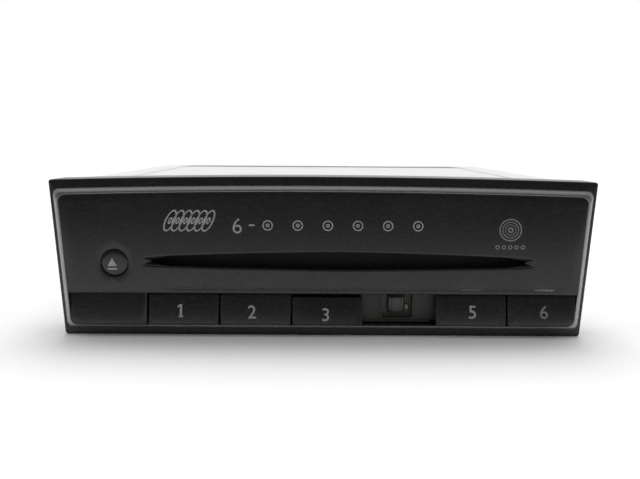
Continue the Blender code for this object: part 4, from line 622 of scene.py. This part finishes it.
def rounded(corners, radii, steps=CORNER_STEPS):
    points = []
    count = len(corners)
    for i, (corner, radius) in enumerate(zip(corners, radii)):
        if radius > 0:
            points += arc_corner(corners[i - 1], corner, corners[(i + 1) % count], radius, steps)
        else:
            points.append(corner)
    return points


def rectangle(x0, z0, x1, z1, radius=0.0, steps=CORNER_STEPS):
    return rounded([(x0, z0), (x1, z0), (x1, z1), (x0, z1)], [radius] * 4, steps)


def circle(x, z, radius, steps=CIRCLE_STEPS):
    turn = 2 * math.pi / steps
    return [(x + radius * math.cos(turn * i), z + radius * math.sin(turn * i))
            for i in range(steps)]


def face_half_width(height):
    share = height / FACE_HEIGHT
    return (FACE_BOTTOM_WIDTH + (FACE_TOP_WIDTH - FACE_BOTTOM_WIDTH) * share) / 2


def panel_half_width(height):
    return face_half_width(height) - PANEL_SIDE


def crown_line(side, top):
    """Points of the crowned top edge from right to left, without its ends."""
    high = FACE_HEIGHT - top
    half = face_half_width(high) - side
    points = []
    for i in range(1, CROWN_STEPS):
        across = 1 - 2 * i / CROWN_STEPS
        points.append((half * across, high + FACE_CROWN * (1 - across * across)))
    return points


def face_outline(side, bottom, top, radius):
    high = FACE_HEIGHT - top
    low_half = face_half_width(bottom) - side
    high_half = face_half_width(high) - side
    crown = crown_line(side, top)
    corners = [(-low_half, bottom), (low_half, bottom), (high_half, high), *crown,
               (-high_half, high)]
    return rounded(corners, [radius] * 3 + [0] * len(crown) + [radius])


def panel_outline():
    """The raised panel: full width above the key row, and the blank end left of it."""
    high = FACE_HEIGHT - PANEL_TOP
    low_half = panel_half_width(PANEL_BOTTOM)
    row_half = panel_half_width(KEY_ROW_TOP)
    high_half = panel_half_width(high)
    crown = crown_line(PANEL_SIDE, PANEL_TOP)
    corners = [(-low_half, PANEL_BOTTOM), (KEY_ROW_LEFT, PANEL_BOTTOM),
               (KEY_ROW_LEFT, KEY_ROW_TOP), (row_half, KEY_ROW_TOP), (high_half, high),
               *crown, (-high_half, high)]
    radii = [PANEL_CORNER, 0, 0, 0, PANEL_CORNER] + [0] * len(crown) + [PANEL_CORNER]
    return rounded(corners, radii)


def slot_outline(grow, reach, tip=SLOT_TIP):
    """Taller in its middle, with drawn-out ends; grow adds to its height, reach to its ends."""
    length = SLOT_WIDTH / 2 + reach
    upper, lower = [], []
    for i in range(SLOT_STEPS + 1):
        across = math.cos(math.pi * i / SLOT_STEPS)
        inward = min(1.0, length * (1 - abs(across)) / SLOT_NOSE)
        share = tip + (1 - tip) * inward ** 0.7
        for points, side, (middle, end) in ((upper, 1, SLOT_RISE), (lower, -1, SLOT_FALL)):
            half = middle - (middle - end) * abs(across) ** 1.5 + grow
            points.append((SLOT_X + across * length, SLOT_Z + side * half * share))
    return lower[::-1] + upper


def slot_loops():
    """The slot's edge: a small rounding above and below, and a pointed ramp at each end."""
    loops = [(slot_outline(SLOT_EDGE + SLOT_GUARD, SLOT_EDGE + SLOT_GUARD), 0.0)]
    for step, turn in enumerate(QUARTER):
        share = step / EDGE_STEPS
        edge = SLOT_EDGE * (1 - math.cos(turn))
        reach = SLOT_EDGE - share * SLOT_RAMP

        def drop(x, z, edge=edge, share=share, tip=SLOT_WIDTH / 2 + reach):
            end = max(0.0, 1 - (tip - abs(x - SLOT_X)) / SLOT_NOSE)
            return edge + end ** 2 * share * SLOT_RAMP_DEPTH
        outline = slot_outline(SLOT_EDGE * (1 - math.sin(turn)), reach,
                               SLOT_TIP + share * (SLOT_APEX - SLOT_TIP))
        loops.append((outline, drop))
    return loops


def apron(z, low, high, crest):
    """Stands forward by its crest at its foot and leans back above."""
    share = max(0.0, min(1.0, (z - low) / (high - low)))
    return crest * (1 - share ** 2)


def key_forward(z, top):
    """A key's face against the panel's plane: forward at its foot, back at its head."""
    share = max(0.0, min(1.0, (z - PANEL_BOTTOM) / (top - PANEL_BOTTOM)))
    return KEY_FOOT - (KEY_FOOT + KEY_HEAD) * share ** KEY_CURVE


def panel_depth(x, z):
    """Two faces that lean back, the upper one standing over the head of the key row."""
    rise = z - KEY_ROW_TOP
    if rise <= -PANEL_STEP:
        return PANEL_Y - key_forward(z, KEY_ROW_TOP)
    forward = apron(z, KEY_ROW_TOP, FACE_HEIGHT - PANEL_TOP + FACE_CROWN, PANEL_BULGE)
    if x < KEY_ROW_LEFT and rise < PANEL_EDGE:
        forward -= PANEL_EDGE * (1 - math.sqrt(1 - (1 - max(rise, 0.0) / PANEL_EDGE) ** 2))
    head = 1 - min(1.0, (rise + PANEL_STEP) / PANEL_STEP)
    return PANEL_Y - forward + head * (forward + KEY_HEAD)


def key_edges(number):
    left = KEY_ROW_LEFT + KEY_PITCH * (number - 1)
    return left, left + KEY_PITCH


def key_middle(number):
    return sum(key_edges(number)) / 2


def key_drop(number):
    return LOW_KEY_DROP if number == LOW_KEY else 0.0


def key_outline(number, inset):
    left, right = key_edges(number)
    low = KEY_BOTTOM_Z + inset
    top = KEY_TOP_Z - key_drop(number) - inset
    left += KEY_GAP / 2 + inset
    low_right = high_right = right - KEY_GAP / 2 - inset
    last_corner = KEY_CORNER
    if number == KEY_COUNT:
        low_right = panel_half_width(low) - FIT - inset
        high_right = panel_half_width(top) - FIT - inset
        last_corner = PANEL_CORNER - inset
    corners = [(left, low), (low_right, low), (high_right, top), (left, top)]
    return rounded(corners, [KEY_CORNER, last_corner, KEY_CORNER, KEY_CORNER])


def key_depth(number):
    top = KEY_ROW_TOP - key_drop(number)
    return lambda x, z: PANEL_Y - key_forward(z, top)


# Face


def bezel_frame():
    """The moulded frame: rounded front edge, flange, and the wall that runs back."""
    edge = 0.55 * MM
    shape = bmesh.new()
    rings = [add_ring(shape, face_outline(0, 0, 0, FACE_CORNER), BEZEL_BACK_Y)]
    for turn in QUARTER:
        inset = edge * (1 - math.cos(turn))
        outline = face_outline(inset, inset, inset, FACE_CORNER)
        rings.append(add_ring(shape, outline, FLANGE_Y + edge * (1 - math.sin(turn))))
    hole = face_outline(PANEL_SIDE - FIT, PANEL_BOTTOM - FIT, PANEL_TOP - FIT, PANEL_CORNER)
    wall = face_outline(BEZEL_WALL, BEZEL_WALL, BEZEL_WALL, FACE_CORNER)
    for outline, y in ((hole, FLANGE_Y), (hole, FLANGE_BACK_Y), (wall, FLANGE_BACK_Y),
                       (wall, BEZEL_BACK_Y)):
        rings.append(add_ring(shape, outline, y))
    add_chain(shape, rings, closed=True)
    piece("bezel_frame", shape, "bezel", "changer", ["front_bezel"])


def bar_outline(number, gap):
    half = BAR_WIDTH / 2 + gap
    rise = BAR_HEIGHT / 2 + gap
    middle = key_middle(number)
    return rectangle(middle - half, BAR_Z - rise, middle + half, BAR_Z + rise, 0.15 * MM, 3)


def bezel_panel():
    """The raised panel with its slot, its eject hole and its six bar windows."""
    shape = bmesh.new()
    loops = [edge_loops(panel_outline(), PANEL_EDGE, 1), slot_loops(),
             edge_loops(circle(EJECT_X, EJECT_Z, EJECT_RADIUS + EJECT_GAP), 0.5 * MM, -1)]
    for number in range(1, KEY_COUNT + 1):
        loops.append(edge_loops(bar_outline(number, BAR_GAP), 0.04 * MM, -1))
    left = -panel_half_width(KEY_ROW_TOP) + 0.6 * MM
    right = KEY_ROW_LEFT - 0.6 * MM
    lines = []
    rises = [PANEL_EDGE * (1 - math.cos(math.pi * i / 8)) for i in range(5)]
    for rise in (-PANEL_STEP, *rises):
        z = KEY_ROW_TOP + rise
        lines.append([(left + (right - left) * i / 12, z) for i in range(13)])
    slab(shape, loops, panel_depth, FLANGE_BACK_Y, PANEL_SPACING, lines,
         {1: slot_outline(1.4 * MM, 0.6 * MM)})
    piece("bezel_panel", shape, "bezel", "changer", ["front_bezel"])


def indicator_bars():
    """One smoked moulding behind the face, its bars flush with the panel."""
    low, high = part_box("light_guide")
    shape = bmesh.new()
    add_box(shape, (low.x, FLANGE_BACK_Y + FIT, low.z), high, 0.15 * MM)
    for number in range(1, KEY_COUNT + 1):
        outline = bar_outline(number, 0.0)
        rim = fill(shape, outline, [], sink(panel_depth, 0.03 * MM), (0.002, 0.0002))[0]
        back = fill(shape, outline, [], FLANGE_BACK_Y + 0.6 * MM, (0.002, 0.0002))[0]
        bridge(shape, rim, back)
    piece("indicator_bars", shape, "indicator", "changer", ["light_guide"])


def bezel_fixings():
    """Screw bosses and short hooks behind the face."""
    shape = bmesh.new()
    for x in (-BOSS_X, BOSS_X):
        start_y = FLANGE_BACK_Y - 0.2 * MM
        length = BEZEL_BACK_Y - start_y
        profile = [(0, 0), (3.0 * MM, 0), (3.0 * MM, length - 0.3 * MM), (2.7 * MM, length),
                   (1.3 * MM, length), (1.2 * MM, length - 0.1 * MM), (1.2 * MM, 2 * MM),
                   (0, 2 * MM)]
        add_turned(shape, profile, (x, start_y, BOSS_Z), "Y", 28)
    for x in (-HOOK_X, HOOK_X):
        for rim, inward in ((FACE_HEIGHT - BEZEL_WALL + 0.6 * MM, -1), (BEZEL_WALL, 1)):
            near = rim + inward * 0.2 * MM
            far = rim + inward * 1.8 * MM
            add_box(shape, (x - 4 * MM, BEZEL_BACK_Y - 2.2 * MM, min(near, far) - 0.5 * MM),
                    (x + 4 * MM, BEZEL_BACK_Y - 0.3 * MM, max(near, far) + 0.5 * MM), 0.2 * MM)
    piece("bezel_fixings", shape, "bezel", "changer", ["front_bezel"])


def trim():
    """The satin frame: a slope that turns over softly into a narrow land beside the panel."""
    shape = bmesh.new()
    foot_y = FLANGE_Y + 0.2 * MM
    front_y = PANEL_Y + 0.1 * MM

    def ring(share, y):
        side = SIDE_MARGIN + share * (PANEL_SIDE - 0.05 * MM - SIDE_MARGIN)
        bottom = BOTTOM_MARGIN + share * (PANEL_BOTTOM - 0.05 * MM - BOTTOM_MARGIN)
        top = TOP_MARGIN + share * (PANEL_TOP - 0.05 * MM - TOP_MARGIN)
        corner = TRIM_CORNER + share * (PANEL_CORNER - TRIM_CORNER)
        return add_ring(shape, face_outline(side, bottom, top, corner), y)

    rings = [ring(0, foot_y)]
    for share, rise in TRIM_PROFILE:
        rings.append(ring(share, FLANGE_Y + rise * (front_y - FLANGE_Y)))
    rings.append(ring(1, foot_y))
    add_chain(shape, rings, closed=True)
    piece("trim_ring", shape, "trim", "changer", ["trim_frame"], smooth=50)


# Buttons


def selector(number):
    """A hollow cap whose face leans back, with rounded edges, its lip and its stem."""
    shape = bmesh.new()
    depth = key_depth(number)
    edge = (0.45 if number == LOW_KEY else 0.28) * MM
    outline = key_outline(number, 0)
    inner = key_outline(number, KEY_WALL)
    loop = edge_loops(outline, edge, 1)
    rim = fill(shape, loop[0][0], [], depth, KEY_SPACING)[0]
    wall = rim_rings(shape, rim, loop, depth, KEY_BACK_Y)
    hollow = add_ring(shape, inner, KEY_BACK_Y)
    bridge(shape, wall, hollow)
    bridge(shape, hollow, fill(shape, inner, [], KEY_CAVITY_Y, (0.006, 0.004))[0])
    left, right = key_edges(number)
    top = KEY_TOP_Z - key_drop(number)
    margin = KEY_GAP + KEY_WALL
    add_box(shape, (left + margin, KEY_LIP_Y, top - 0.4 * MM),
            (right - margin, KEY_LIP_Y + 0.58 * MM, KEY_TOP_Z + 2 * FIT), 0.1 * MM)
    middle = key_middle(number)
    half = KEY_STEM / 2
    add_box(shape, (middle - half, KEY_CAVITY_Y - 0.4 * MM, KEY_MIDDLE_Z - half),
            (middle + half, STEM_END_Y, KEY_MIDDLE_Z + half), 0.2 * MM)
    piece(f"selector_cap_{number}", shape, "keys", f"selector_{number}", [f"key_{number}"])


def eject_depth(x, z):
    """The round button's worn face: a low dome that leans a little down and to the right."""
    across, up = (x - EJECT_X) / EJECT_RADIUS, (z - EJECT_Z) / EJECT_RADIUS
    share = min(1.0, math.hypot(across, up))
    lean = EJECT_LEAN * (0.85 * across - 0.5 * up)
    return EJECT_FRONT_Y + EJECT_DOME * share ** 2 + EJECT_RIM * share ** 10 + lean


def eject():
    """The round button and its stem."""
    shape = bmesh.new()
    steps = 26
    profile = [(0, 0)]
    profile += [(EJECT_RADIUS * math.sin(math.pi / 2 * i / steps), 0) for i in range(1, steps + 1)]
    back, end = KEY_BACK_Y - EJECT_FRONT_Y, STEM_END_Y - EJECT_FRONT_Y
    profile += [(EJECT_RADIUS, back), (KEY_STEM / 2, back), (KEY_STEM / 2, end), (0, end)]
    add_turned(shape, profile, (EJECT_X, EJECT_FRONT_Y, EJECT_Z), "Y", CIRCLE_STEPS)
    for vert in shape.verts:
        if vert.co.y < EJECT_FRONT_Y + 0.01 * MM:
            vert.co.y = eject_depth(vert.co.x, vert.co.z)
    piece("eject_cap", shape, "keys", "eject", ["eject_button"])


# Printed marks


def slice_up(shape, axis, step):
    """Cuts a flat drawing along evenly spaced lines, so that it can follow a curve."""
    low = min(v.co[axis] for v in shape.verts)
    high = max(v.co[axis] for v in shape.verts)
    normal = Vector([1.0 if i == axis else 0.0 for i in range(3)])
    level = low + step
    while level < high:
        geometry = shape.verts[:] + shape.edges[:] + shape.faces[:]
        bmesh.ops.bisect_plane(shape, geom=geometry, dist=1e-7, plane_co=normal * level,
                               plane_no=normal)
        level += step


def drape(name, shape, depth, body, material, slot="bezel"):
    """A flat drawing in x and z, laid on a curved face as a thin skin of ink."""
    slice_up(shape, 2, SLICE)
    if body == "eject":
        slice_up(shape, 0, SLICE)
    fronts, rims = shape.faces[:], [e for e in shape.edges if len(e.link_faces) == 1]
    backs = {v: shape.verts.new(v.co) for v in shape.verts[:]}
    for face in fronts:
        shape.faces.new([backs[v] for v in reversed(face.verts[:])])
    for rim in rims:
        first, second = rim.verts
        shape.faces.new((first, second, backs[second], backs[first]))
    for front, back in backs.items():
        surface = depth(front.co.x, front.co.z)
        front.co.y = surface - INK_RISE
        back.co.y = surface + INK_ROOT
    piece(name, shape, slot, body, smooth=25, material=material)


def glyph(text, x, z, height, weight=0.0):
    """A numeral from the plain built-in face, its middle and its height in millimetres."""
    curve = bpy.data.curves.new("glyph", "FONT")
    curve.body = text
    curve.dimensions = "2D"
    curve.resolution_u = 8
    curve.offset = weight
    shape = evaluated(link("glyph", curve))
    weld(shape)
    xs = [v.co.x for v in shape.verts]
    ys = [v.co.y for v in shape.verts]
    scale = height * MM / (max(ys) - min(ys))
    middle_x, middle_y = (max(xs) + min(xs)) / 2, (max(ys) + min(ys)) / 2
    for v in shape.verts:
        across, up = (v.co.x - middle_x) * scale, (v.co.y - middle_y) * scale
        v.co = Vector((x * MM + across, 0, z * MM + up))
    return shape


def add_band(shape, outer, inner):
    """A flat band between two outlines of as many points."""
    bridge(shape, add_ring(shape, outer, 0.0), add_ring(shape, inner, 0.0))


def add_washer(shape, x, z, outer, inner, steps=CIRCLE_STEPS):
    """A flat round band, its place and radii in millimetres."""
    add_band(shape, circle(x * MM, z * MM, outer * MM, steps),
             circle(x * MM, z * MM, inner * MM, steps))


def add_patch(shape, outline):
    shape.faces.new(add_ring(shape, outline, 0.0))


def plain_one(x, z):
    """A numeral 1 of a stem, a slanted flag and a short foot that share their corners."""
    shape = bmesh.new()
    for corners in ONE_PARTS:
        add_patch(shape, [((x + across) * MM, (z + up) * MM) for across, up in corners])
    weld(shape)
    bmesh.ops.recalc_face_normals(shape, faces=shape.faces[:])
    return shape


def numerals():
    """Plain numerals on the caps, the last one fainter."""
    for number, (x, z) in NUMERALS.items():
        shape = plain_one(x, z) if number == 1 else glyph(str(number), x, z, NUMERAL_HEIGHT, 0.004)
        drape(f"numeral_{number}", shape, key_depth(number), f"selector_{number}",
              DIM_PRINT if number == KEY_COUNT else PRINT, "keys")


def eject_mark():
    """A plain eject sign, an arrowhead over a bar, both in strips that can follow the dome."""
    shape = bmesh.new()
    x, half = EJECT_SIGN_X * MM, EJECT_SIGN_HALF * MM
    low, high = EJECT_ARROW_Z[0] * MM, EJECT_ARROW_Z[1] * MM
    for i in range(EJECT_STRIPS):
        below, above = i / EJECT_STRIPS, (i + 1) / EJECT_STRIPS
        z0, z1 = low + (high - low) * below, low + (high - low) * above
        w0, w1 = half * (1 - below), half * (1 - above)
        corners = [(x - w0, z0), (x + w0, z0), (x + w1, z1), (x - w1, z1)]
        add_patch(shape, corners if w1 > 0 else corners[:3])
    low, high = EJECT_BAR_Z[0] * MM, EJECT_BAR_Z[1] * MM
    width = 2 * half / EJECT_STRIPS
    for i in range(EJECT_STRIPS):
        left = x - half + width * i
        add_patch(shape, rectangle(left, low, left + width, high))
    weld(shape)
    drape("eject_mark", shape, eject_depth, "eject", PRINT, "keys")


def slanted_ring(x, z, half_width, half_height):
    """An oval that leans to the right, its place and half sizes in millimetres."""
    return [((x + half_width * across + SLANT * half_height * up) * MM, (z + half_height * up) * MM)
            for across, up in circle(0, 0, 1)]


def face_marks():
    """Plain marks where the face carries print: a row of slanted discs, a 6, disc signs."""
    shape = bmesh.new()
    for i in range(KEY_COUNT):
        x = STACK_X + STACK_PITCH * i
        for outer, inner in STACK_BANDS:
            add_band(shape, slanted_ring(x, STACK_Z, *outer), slanted_ring(x, STACK_Z, *inner))
    drape("stack_mark", shape, panel_depth, "changer", PRINT)

    shape = glyph("6", COUNT_X, COUNT_Z, COUNT_HEIGHT, -0.008)
    drape("count_mark", shape, panel_depth, "changer", PRINT)

    shape = bmesh.new()
    add_patch(shape, rectangle(*[side * MM for side in DASH]))
    for i in range(KEY_COUNT):
        x = DISC_ROW_X + DISC_ROW_PITCH * i
        add_washer(shape, x, DISC_ROW_Z, 1.72, 1.34)
        add_washer(shape, x, DISC_ROW_Z, 0.62, 0.27, 32)
    drape("disc_row_mark", shape, panel_depth, "changer", PRINT)

    shape = bmesh.new()
    for outer, inner in DISC_BANDS:
        add_washer(shape, DISC_X, DISC_Z, outer, inner)
    for i in range(DOT_COUNT):
        x = DISC_X + (i - DOT_COUNT // 2) * DOT_PITCH
        add_washer(shape, x, DOT_Z, 0.72, 0.40, 32)
    drape("disc_mark", shape, panel_depth, "changer", DIM_PRINT)


# Open bay


def bay_parts():
    """The bare switch of button 4, and the small parts beside it."""
    middle = key_middle(MISSING_KEY)
    low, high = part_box("bay_switch")
    front = SWITCH_FRONT_Y

    def around(half, rise, radius, centre=middle):
        """A rounded outline about a switch's middle, sizes in millimetres."""
        return rectangle(centre - half * MM, KEY_MIDDLE_Z - rise * MM, centre + half * MM,
                         KEY_MIDDLE_Z + rise * MM, radius * MM)

    shape = bmesh.new()
    add_box(shape, (low.x, front + 0.45 * MM, low.z), (high.x, high.y, high.z), 0.25 * MM)
    piece("bay_switch_base", shape, "dark_moulding", "changer", ["bay_switch"])

    shape = bmesh.new()
    add_box(shape, (middle - 2.75 * MM, front, KEY_MIDDLE_Z - 2.75 * MM),
            (middle + 2.75 * MM, front + 1.2 * MM, KEY_MIDDLE_Z + 2.75 * MM), 0.3 * MM, 3)
    for x in (-2.1, 2.1):
        for z in (-2.1, 2.1):
            profile = [(0, -0.16 * MM), (0.22 * MM, -0.15 * MM), (0.36 * MM, -0.05 * MM),
                       (0.38 * MM, 0.1 * MM), (0, 0.1 * MM)]
            add_turned(shape, profile, (middle + x * MM, front, KEY_MIDDLE_Z + z * MM), "Y", 16)
    piece("bay_switch_cover", shape, "grey_plastic", "changer", material=SWITCH_COVER)

    shape = bmesh.new()
    outer, inner = around(1.8, 2.6, 0.3), around(1.25, 2.05, 0.1)
    floor_rim = fill(shape, inner, [], low.y + 0.35 * MM, (0.001, 0.001))[0]
    back_rim = fill(shape, outer, [], front + 0.5 * MM, (0.001, 0.001))[0]
    rings = [add_ring(shape, outline, low.y + drop * MM)
             for outline, drop in ((outer, 0.18), (offset(outer, -0.06 * MM), 0.06),
                                   (offset(outer, -0.18 * MM), 0), (inner, 0))]
    add_chain(shape, rings)
    bridge(shape, rings[0], back_rim)
    bridge(shape, rings[-1], floor_rim)
    piece("bay_plunger", shape, "grey_plastic", "changer", material=PLUNGER_GREY)

    shape = bmesh.new()
    add_box(shape, (28.9 * MM, KEY_BOARD_Y - 1.5 * MM, 7.2 * MM),
            (30.0 * MM, KEY_BOARD_Y + 0.1 * MM, 9.0 * MM), 0.2 * MM)
    piece("bay_lamp", shape, "indicator", "changer", material=CLEAR_LENS)

    shape = bmesh.new()
    for number in range(1, KEY_COUNT + 1):
        outer = around(5.9, 4.7, 0.8, key_middle(number))
        inner = around(5.2, 4.1, 0.4, key_middle(number))
        sections = ((outer, 0.1), (outer, -0.15), (offset(outer, -0.1 * MM), -0.25),
                    (offset(inner, 0.1 * MM), -0.25), (inner, -0.15), (inner, 0.1))
        rings = [add_ring(shape, outline, KEY_GUIDE_Y + rise * MM) for outline, rise in sections]
        add_chain(shape, rings, closed=True)
    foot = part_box("key_guide")[0].z
    add_box(shape, (middle - 11.6 * MM, KEY_GUIDE_Y - 0.25 * MM, foot - 0.8 * MM),
            (middle + 11.6 * MM, KEY_GUIDE_Y + 0.1 * MM, foot + 0.1 * MM), 0.1 * MM)
    piece("guide_rims", shape, "dark_moulding", "changer")


# Screws


def carved(shape, tool):
    """The first shape with the second cut out of it."""
    items = [link("carve_shape", mesh_of(shape, "carve_shape")),
             link("carve_tool", mesh_of(tool, "carve_tool"))]
    modifier = items[0].modifiers.new("carve", "BOOLEAN")
    modifier.operation = "DIFFERENCE"
    modifier.solver = "EXACT"
    modifier.object = items[1]
    result = evaluated(items[0])
    bpy.data.objects.remove(items[1])
    return result


def cover_screw(number):
    """A pan head with a cross recess, and its shank."""
    low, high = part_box(f"cover_screw_{number}")
    side = 1 if low.x > 0 else -1
    outer = max(abs(low.x), abs(high.x))
    inner = min(abs(low.x), abs(high.x))
    y, z = (low.y + high.y) / 2, (low.z + high.z) / 2
    head = outer - 1.3 * MM
    shape = bmesh.new()
    profile = [(0, inner), (1.0 * MM, inner), (1.3 * MM, inner + 0.3 * MM), (1.3 * MM, head),
               (2.7 * MM, head), (2.8 * MM, head + 0.12 * MM), (2.78 * MM, head + 0.45 * MM),
               (2.6 * MM, head + 0.85 * MM), (2.2 * MM, head + 1.12 * MM),
               (1.4 * MM, outer - 0.04 * MM), (0, outer)]
    add_turned(shape, [(r, d * side) for r, d in profile], (0, y, z), "X", 40)
    tool = bmesh.new()
    reach = sorted((side * (outer - 0.75 * MM), side * (outer + 1.0 * MM)))
    long, short = 1.45 * MM, 0.36 * MM
    cross = [(-short, -long), (short, -long), (short, -short), (long, -short), (long, short),
             (short, short), (short, long), (-short, long), (-short, short), (-long, short),
             (-long, -short), (-short, -short)]
    ends = [[tool.verts.new((x, y + a, z + b)) for a, b in cross] for x in reach]
    bridge(tool, *ends)
    for end in ends:
        tool.faces.new(end)
    piece(f"pan_screw_{number}", carved(shape, tool), "steel", "changer",
          [f"cover_screw_{number}"], smooth=35, material=ZINC_SCREW)


# Finishes on the parts that stay as they are


def dress_nodes():
    """Each part that stays as it is takes the finish of its slot in the record."""
    for part in frame["record"]["subparts"]:
        item = frame["nodes"][part["node"]]
        for place in item.material_slots:
            place.link = "OBJECT"
            place.material = FINISHES[part["material_slot"]]
    frame["nodes"]["dust_flap"].material_slots[0].material = FLAP_PLASTIC
    frame["nodes"]["key_board"].material_slots[0].material = KEY_LACQUER
    for name in ("top_cover", "chassis_tray", "front_plate", "rear_plate"):
        item = frame["nodes"][name]
        joined = item.modifiers.new("weld", "WELD")
        joined.merge_threshold = WELD_REACH
        bevel = item.modifiers.new("edge", "BEVEL")
        bevel.width = (0.24 if name == "top_cover" else 0.15) * MM
        bevel.segments = 2
        bevel.limit_method = "ANGLE"
        bevel.angle_limit = math.radians(40)
        bevel.harden_normals = True


# Stage


def floor():
    """A plain pale table top, wide and deep, whose near edge lies just behind the viewer."""
    shape = bmesh.new()
    outline = rectangle(-6.0, -TABLE_REACH, 6.0, 6.0, 0.3)
    shape.faces.new([shape.verts.new((x, y, 0)) for x, y in outline])
    item = link("floor", mesh_of(shape, "floor"))
    item.location = (0, 0, -0.02 * MM)
    material, tree, shader = start("floor_paper")
    colour = blend_colours(tree, remap(tree, noise(tree, 6, 2), 0.3, 0.7), (0.93, 0.935, 0.925),
                           (0.95, 0.95, 0.945))
    feed(tree, colour, shader.inputs["Base Color"])
    shader.inputs["Roughness"].default_value = 0.9
    shader.inputs["Specular IOR Level"].default_value = 0.1
    item.data.materials.append(material)


def world():
    """Soft surroundings: white along the horizon, dimmer above and towards the viewer."""
    made = bpy.data.worlds.new("studio")
    bpy.context.scene.world = made
    made.use_nodes = True
    tree = made.node_tree
    tree.nodes.clear()
    out = tree.nodes.new("ShaderNodeOutputWorld")
    direction = node(tree, "ShaderNodeTexCoord").outputs["Generated"]
    parts = node(tree, "ShaderNodeSeparateXYZ", {0: direction})
    dome = remap(tree, parts.outputs[2], 0.25, 0.85, 1.0, ZENITH_LEVEL)
    behind = remap(tree, parts.outputs[1], 0.2, 1.0, 1.0, BACK_LEVEL)
    ahead = remap(tree, parts.outputs[1], -0.80, 0.10, FRONT_LEVEL, 1.0)
    level = reckon(tree, "MULTIPLY", reckon(tree, "MULTIPLY", dome, behind), ahead)
    lifted = reckon(tree, "ADD", parts.outputs[1], reckon(tree, "MULTIPLY", parts.outputs[2], 0.5))
    seen = remap(tree, lifted, -0.50, 1.0, FRONT_LEVEL, 1.0)
    lit, shown, plain = [
        node(tree, "ShaderNodeBackground", {0: (1, 1, 1, 1), 1: strength}).outputs[0]
        for strength in (reckon(tree, "MULTIPLY", level, SKY_LEVEL), seen, 1.0)]
    paths = node(tree, "ShaderNodeLightPath")
    mirrored = reckon(tree, "MAXIMUM", paths.outputs["Is Glossy Ray"],
                      paths.outputs["Is Transmission Ray"])
    first = node(tree, "ShaderNodeMixShader", {0: mirrored, 1: lit, 2: shown}).outputs[0]
    last = node(tree, "ShaderNodeMixShader",
                {0: paths.outputs["Is Camera Ray"], 1: first, 2: plain}).outputs[0]
    feed(tree, last, out.inputs[0])


def soft_sun(name, azimuth, elevation, share, spread):
    """A broad distant lamp; its share is the part of full level that it gives the floor."""
    a, e = math.radians(azimuth), math.radians(elevation)
    lamp = bpy.data.lights.new(name, "SUN")
    lamp.energy = share * math.pi / math.sin(e)
    lamp.angle = math.radians(spread)
    item = link(name, lamp)
    item.visible_glossy = False
    towards = Vector((math.sin(a) * math.cos(e), math.cos(a) * math.cos(e), math.sin(e)))
    item.rotation_mode = "QUATERNION"
    item.rotation_quaternion = towards.to_track_quat("Z", "Y")


def camera():
    """A camera that looks a little down at the front, almost square on."""
    pitch, yaw, roll = [math.radians(turn) for turn in (CAMERA_PITCH, CAMERA_YAW, CAMERA_ROLL)]
    level = math.cos(pitch)
    ahead = Vector((math.sin(yaw) * level, math.cos(yaw) * level, -math.sin(pitch)))
    right = Vector((math.cos(yaw), -math.sin(yaw), 0))
    up = right.cross(ahead)
    turned_right = right * math.cos(roll) + up * math.sin(roll)
    turned_up = up * math.cos(roll) - right * math.sin(roll)
    lens = bpy.data.cameras.new("camera")
    lens.lens = CAMERA_LENS
    lens.sensor_width = 36.0
    lens.clip_start = 0.01
    lens.clip_end = 50.0
    item = link("camera", lens)
    matrix = Matrix((turned_right, turned_up, -ahead)).transposed().to_4x4()
    matrix.translation = CAMERA_PLACE
    item.matrix_world = matrix
    bpy.context.scene.camera = item


SWITCH_COVER = metal("switch_cover", ((0.11, 0.11, 0.105), (0.16, 0.16, 0.155)), (0.40, 0.52))
PLUNGER_GREY = moulded("plunger_grey", ((0.075, 0.076, 0.072), (0.10, 0.101, 0.096)),
                       (0.40, 0.50), dust=0.14)
KEY_LACQUER = board_lacquer("key_lacquer", (0.085, 0.095, 0.080), (0.13, 0.14, 0.12))
ZINC_SCREW = metal("zinc_screw", ((0.52, 0.52, 0.50), (0.66, 0.66, 0.63)), (0.26, 0.40))
FLAP_PLASTIC = moulded("flap_plastic", ((0.009, 0.0092, 0.0088), (0.012, 0.0122, 0.0117)),
                       (0.60, 0.72), dust=0.02, sheen=0.2)
CLEAR_LENS = moulded("clear_lens", ((0.34, 0.345, 0.33), (0.42, 0.42, 0.40)), (0.18, 0.26))

camera()
bezel_frame()
bezel_panel()
bezel_fixings()
indicator_bars()
trim()
for key_number in range(1, KEY_COUNT + 1):
    if key_number != MISSING_KEY:
        selector(key_number)
eject()
numerals()
eject_mark()
face_marks()
bay_parts()
for screw_number in range(1, 5):
    cover_screw(screw_number)
dress_nodes()
floor()
world()
for lamp_name, setting in LAMPS.items():
    soft_sun(lamp_name, *setting)
bpy.context.scene.view_settings.view_transform = "Standard"
